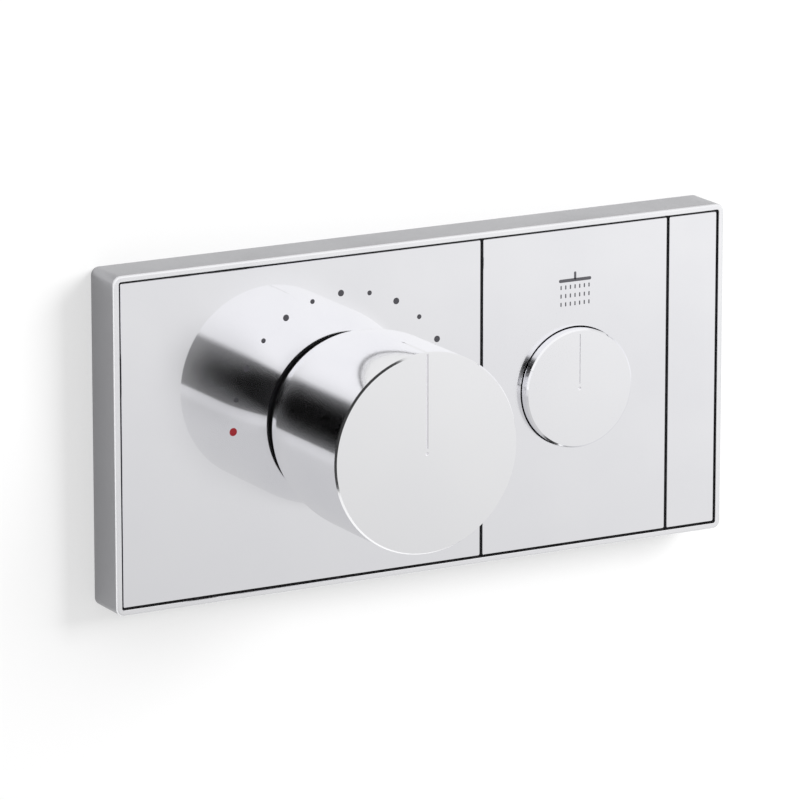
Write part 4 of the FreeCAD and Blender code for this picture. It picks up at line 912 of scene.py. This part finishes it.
@dataclass
class Sums:
    """Sums on the sockets of the stage's nodes."""

    tree: Tree

    def feed(self, socket: Socket, value: Socket | float) -> None:
        """Links a value to a socket, or sets it there where it is a plain number.

        Args:
            socket: The socket that takes the value.
            value: Another socket or a number.
        """
        if isinstance(value, float):
            socket.default_value = value
        else:
            self.tree.links.new(value, socket)

    def maths(self, operation: str, *values: Socket | float) -> Socket:
        """One Math node.

        Args:
            operation: The node's operation.
            values: What it takes, in order.

        Returns:
            The result's socket.
        """
        node = self.tree.nodes.new("ShaderNodeMath")
        node.operation = operation
        for socket, value in zip(node.inputs, values):
            self.feed(socket, value)
        return node.outputs[0]

    def ramp(self, value: Socket, ramp: Ramp) -> Socket:
        """A smooth step of a value.

        Args:
            value: The value's socket.
            ramp: The step.

        Returns:
            The result's socket.
        """
        node = self.tree.nodes.new("ShaderNodeMapRange")
        node.interpolation_type = "SMOOTHSTEP"
        node.inputs["From Min"].default_value = ramp.start
        node.inputs["From Max"].default_value = ramp.end
        node.inputs["To Min"].default_value = ramp.low
        node.inputs["To Max"].default_value = ramp.high
        self.feed(node.inputs["Value"], value)
        return node.outputs["Result"]

    def mixed(self, share: Socket, low: Socket | float, high: Socket | float) -> Socket:
        """A value between two others.

        Args:
            share: How far it lies from the first to the second.
            low: The first value.
            high: The second value.

        Returns:
            The result's socket.
        """
        node = self.tree.nodes.new("ShaderNodeMix")
        node.data_type = "FLOAT"
        self.feed(node.inputs["Factor"], share)
        self.feed(node.inputs["A"], low)
        self.feed(node.inputs["B"], high)
        return node.outputs["Result"]

    def shaders(self, share: Socket, first: bpy.types.Node, second: bpy.types.Node) -> bpy.types.Node:
        """A mix of two shaders.

        Args:
            share: The second shader's share.
            first: The first shader's node.
            second: The second shader's node.

        Returns:
            The mix's node.
        """
        node = self.tree.nodes.new("ShaderNodeMixShader")
        self.feed(node.inputs["Fac"], share)
        self.feed(node.inputs[1], first.outputs[0])
        self.feed(node.inputs[2], second.outputs[0])
        return node


@dataclass
class Wall:
    """A pale wall behind the panel, seen from its front only."""

    size: float = 1.0
    paint: float = 0.93
    glow_seen: float = 0.46
    glow_mirrored: Ramp = Ramp(54.0 * MM, 60.0 * MM, 0.2, 1.0)
    glow_fall: float = -0.2
    glow_full: float = 1.04

    def build(self) -> None:
        """Makes the wall."""
        half = self.size / 2
        mesh = bpy.data.meshes.new("wall")
        corners = [(-half, 0.0, -half), (half, 0.0, -half), (half, 0.0, half), (-half, 0.0, half)]
        mesh.from_pydata(corners, [], [(0, 1, 2, 3)])
        mesh.materials.append(self._material())
        wall = bpy.data.objects.new("wall", mesh)
        bpy.context.scene.collection.objects.link(wall)

    def _material(self) -> bpy.types.Material:
        """Matt paint that glows a little to the camera, and evenly above the panel where metal mirrors it.

        The glow's strength is glow_full plus glow_fall times its mirrored share, and 1 at most.

        Returns:
            The new material.
        """
        material = bpy.data.materials.new("pale_wall")
        material.use_nodes = True
        tree = material.node_tree
        tree.nodes.clear()
        sums = Sums(tree)
        path = tree.nodes.new("ShaderNodeLightPath")
        place = tree.nodes.new("ShaderNodeTexCoord")
        parts = tree.nodes.new("ShaderNodeSeparateXYZ")
        tree.links.new(place.outputs["Object"], parts.inputs[0])
        matt = tree.nodes.new("ShaderNodeBsdfDiffuse")
        matt.inputs["Color"].default_value = (self.paint, self.paint, self.paint, 1.0)
        above = sums.ramp(parts.outputs["Z"], self.glow_mirrored)
        mirrored = sums.maths("MULTIPLY", path.outputs["Is Glossy Ray"], above)
        strength = sums.maths("MULTIPLY_ADD", mirrored, self.glow_fall, self.glow_full)
        strength.node.use_clamp = True
        glow = tree.nodes.new("ShaderNodeEmission")
        sums.feed(glow.inputs["Strength"], strength)
        share = sums.maths("MULTIPLY_ADD", path.outputs["Is Camera Ray"], self.glow_seen, mirrored)
        lit = sums.shaders(share, matt, glow)
        side = tree.nodes.new("ShaderNodeNewGeometry")
        clear = tree.nodes.new("ShaderNodeBsdfTransparent")
        both = sums.shaders(side.outputs["Backfacing"], lit, clear)
        output = tree.nodes.new("ShaderNodeOutputMaterial")
        tree.links.new(both.outputs[0], output.inputs["Surface"])
        return material


@dataclass
class Surroundings:
    """White all round to the eye; the metal sees softer tones, which depend on the direction."""

    diffuse: float = 0.65
    across_front: Ramp = Ramp(0.39, 0.60, 0.73, 0.95)
    up_front: Ramp = Ramp(-0.295, -0.195, 0.85, 1.15)
    overhead: Ramp = Ramp(-0.10, 0.05)
    band_tilts: tuple[float, float] = (0.73, 0.13)
    band_top: Ramp = Ramp(0.04, 0.15, 1.0, 0.0)
    band_foot: Ramp = Ramp(-0.215, -0.195)
    band_end: Ramp = Ramp(0.24, 0.32, 1.0, 0.0)
    band_depth: float = 1.5
    side_along: Ramp = Ramp(-0.18, -0.10)
    side_across: Ramp = Ramp(0.0, 0.5, 1.0, 0.2)
    side_tone: float = 0.05

    def build(self) -> None:
        """Sets the world."""
        world = bpy.data.worlds.new("surround")
        bpy.context.scene.world = world
        world.use_nodes = True
        tree = world.node_tree
        tree.nodes.clear()
        sums = Sums(tree)
        path = tree.nodes.new("ShaderNodeLightPath")
        tone = sums.mixed(path.outputs["Is Glossy Ray"], self.diffuse, self._mirrored(sums, path))
        seen = sums.maths("MAXIMUM", path.outputs["Is Camera Ray"], path.outputs["Is Transmission Ray"])
        surround = tree.nodes.new("ShaderNodeBackground")
        surround.inputs["Color"].default_value = WHITE
        sums.feed(surround.inputs["Strength"], sums.mixed(seen, tone, 1.0))
        output = tree.nodes.new("ShaderNodeOutputWorld")
        tree.links.new(surround.outputs[0], output.inputs["Surface"])

    def _mirrored(self, sums: Sums, path: bpy.types.Node) -> Socket:
        """What the metal sees: a dimmer front, a dark band where it mirrors itself, and dark sides.

        Args:
            sums: Sums on the world's nodes.
            path: The Light Path node.

        Returns:
            The tone's socket.
        """
        direction = sums.tree.nodes.new("ShaderNodeTexCoord")
        parts = sums.tree.nodes.new("ShaderNodeSeparateXYZ")
        sums.feed(parts.inputs[0], direction.outputs["Generated"])
        across, along, up = parts.outputs
        steep, flat = (sums.maths("MULTIPLY_ADD", across, tilt, up) for tilt in self.band_tilts)
        front = sums.maths("MULTIPLY", sums.ramp(across, self.across_front), sums.ramp(up, self.up_front))
        shine = sums.mixed(sums.ramp(up, self.overhead), front, 1.0)
        band = sums.maths("MULTIPLY", sums.ramp(steep, self.band_top), sums.ramp(flat, self.band_foot))
        band = sums.maths("MULTIPLY", band, sums.ramp(across, self.band_end))
        again = sums.maths("GREATER_THAN", path.outputs["Glossy Depth"], self.band_depth)
        shine = sums.mixed(sums.maths("MULTIPLY", band, again), shine, 0.0)
        side = sums.maths("MULTIPLY", sums.ramp(along, self.side_along), sums.ramp(across, self.side_across))
        return sums.mixed(side, shine, self.side_tone)


@dataclass
class Studio:
    """The wall, the lamps, the surroundings and the photograph's camera."""

    target: Place = (-9.148 * MM, -15.0 * MM, 3.149 * MM)
    back: Place = (-0.46757, -0.84953, 0.24427)
    distance: float = 1934.141 * MM
    lens: float = 287.445
    sensor: float = 36.0
    lamp_size: float = 1.0
    key_place: Place = (1.3, -1.4, 0.8)
    key_power: float = 36.0
    fill_place: Place = (-0.8, 1.4, 0.9)
    fill_power: float = 12.0

    def build(self) -> None:
        """Sets the stage: soft lamps in front, above and to the right, and a weak one for the rear."""
        self._camera()
        Wall().build()
        self._lamp("key", self.key_place, self.key_power)
        self._lamp("rear_fill", self.fill_place, self.fill_power)
        Surroundings().build()
        bpy.context.scene.view_settings.view_transform = "Standard"

    def _camera(self) -> None:
        """A long lens at the photograph's viewing angle."""
        data = bpy.data.cameras.new("camera")
        data.lens = self.lens
        data.sensor_width = self.sensor
        camera = bpy.data.objects.new("camera", data)
        target = Vector(self.target)
        camera.location = target + Vector(self.back) * self.distance
        camera.rotation_euler = (target - camera.location).to_track_quat("-Z", "Y").to_euler()
        bpy.context.scene.collection.objects.link(camera)
        bpy.context.scene.camera = camera

    def _lamp(self, name: str, place: Place, power: float) -> None:
        """A square area lamp that looks at the panel's middle and doesn't show in the metal.

        Args:
            name: The lamp's name.
            place: Where it stands.
            power: Its power in watts.
        """
        data = bpy.data.lights.new(name, "AREA")
        data.size = self.lamp_size
        data.energy = power
        lamp = bpy.data.objects.new(name, data)
        lamp.location = place
        lamp.rotation_euler = (-Vector(place)).to_track_quat("-Z", "Y").to_euler()
        lamp.visible_glossy = False
        bpy.context.scene.collection.objects.link(lamp)


def main() -> None:
    """Builds the pieces in order and dresses the rest."""
    logging.basicConfig(level=logging.INFO, format="%(name)s: %(message)s")
    Dressing.dress()
    knob = TurnedCap(
        node="knob_shell",
        piece_name="temperature_knob",
        body="temperature_knob",
        slot="knob_chrome",
        wall=2.4 * MM,
        face_thick=3.0 * MM,
        bevel=0.45 * MM,
        bevel_depth=0.8 * MM,
        line_width=0.7 * MM,
        line_start=1.6 * MM,
        line_end=None,
        rear_radius=26.25 * MM,
        draw_length=19.6 * MM,
    )
    button = TurnedCap(
        node="button_cap",
        piece_name="flow_button",
        body="flow_button",
        slot="button_chrome",
        wall=2.3 * MM,
        face_thick=2.2 * MM,
        bevel=0.5 * MM,
        bevel_depth=0.5 * MM,
        line_width=0.35 * MM,
        line_start=1.6 * MM,
        line_end=17.1 * MM,
    )
    Panel().build(knob.build(), button.build())
    PushSpring().build()
    PrintedMarks().build()
    Studio().build()


if __name__ == "__main__":
    main()
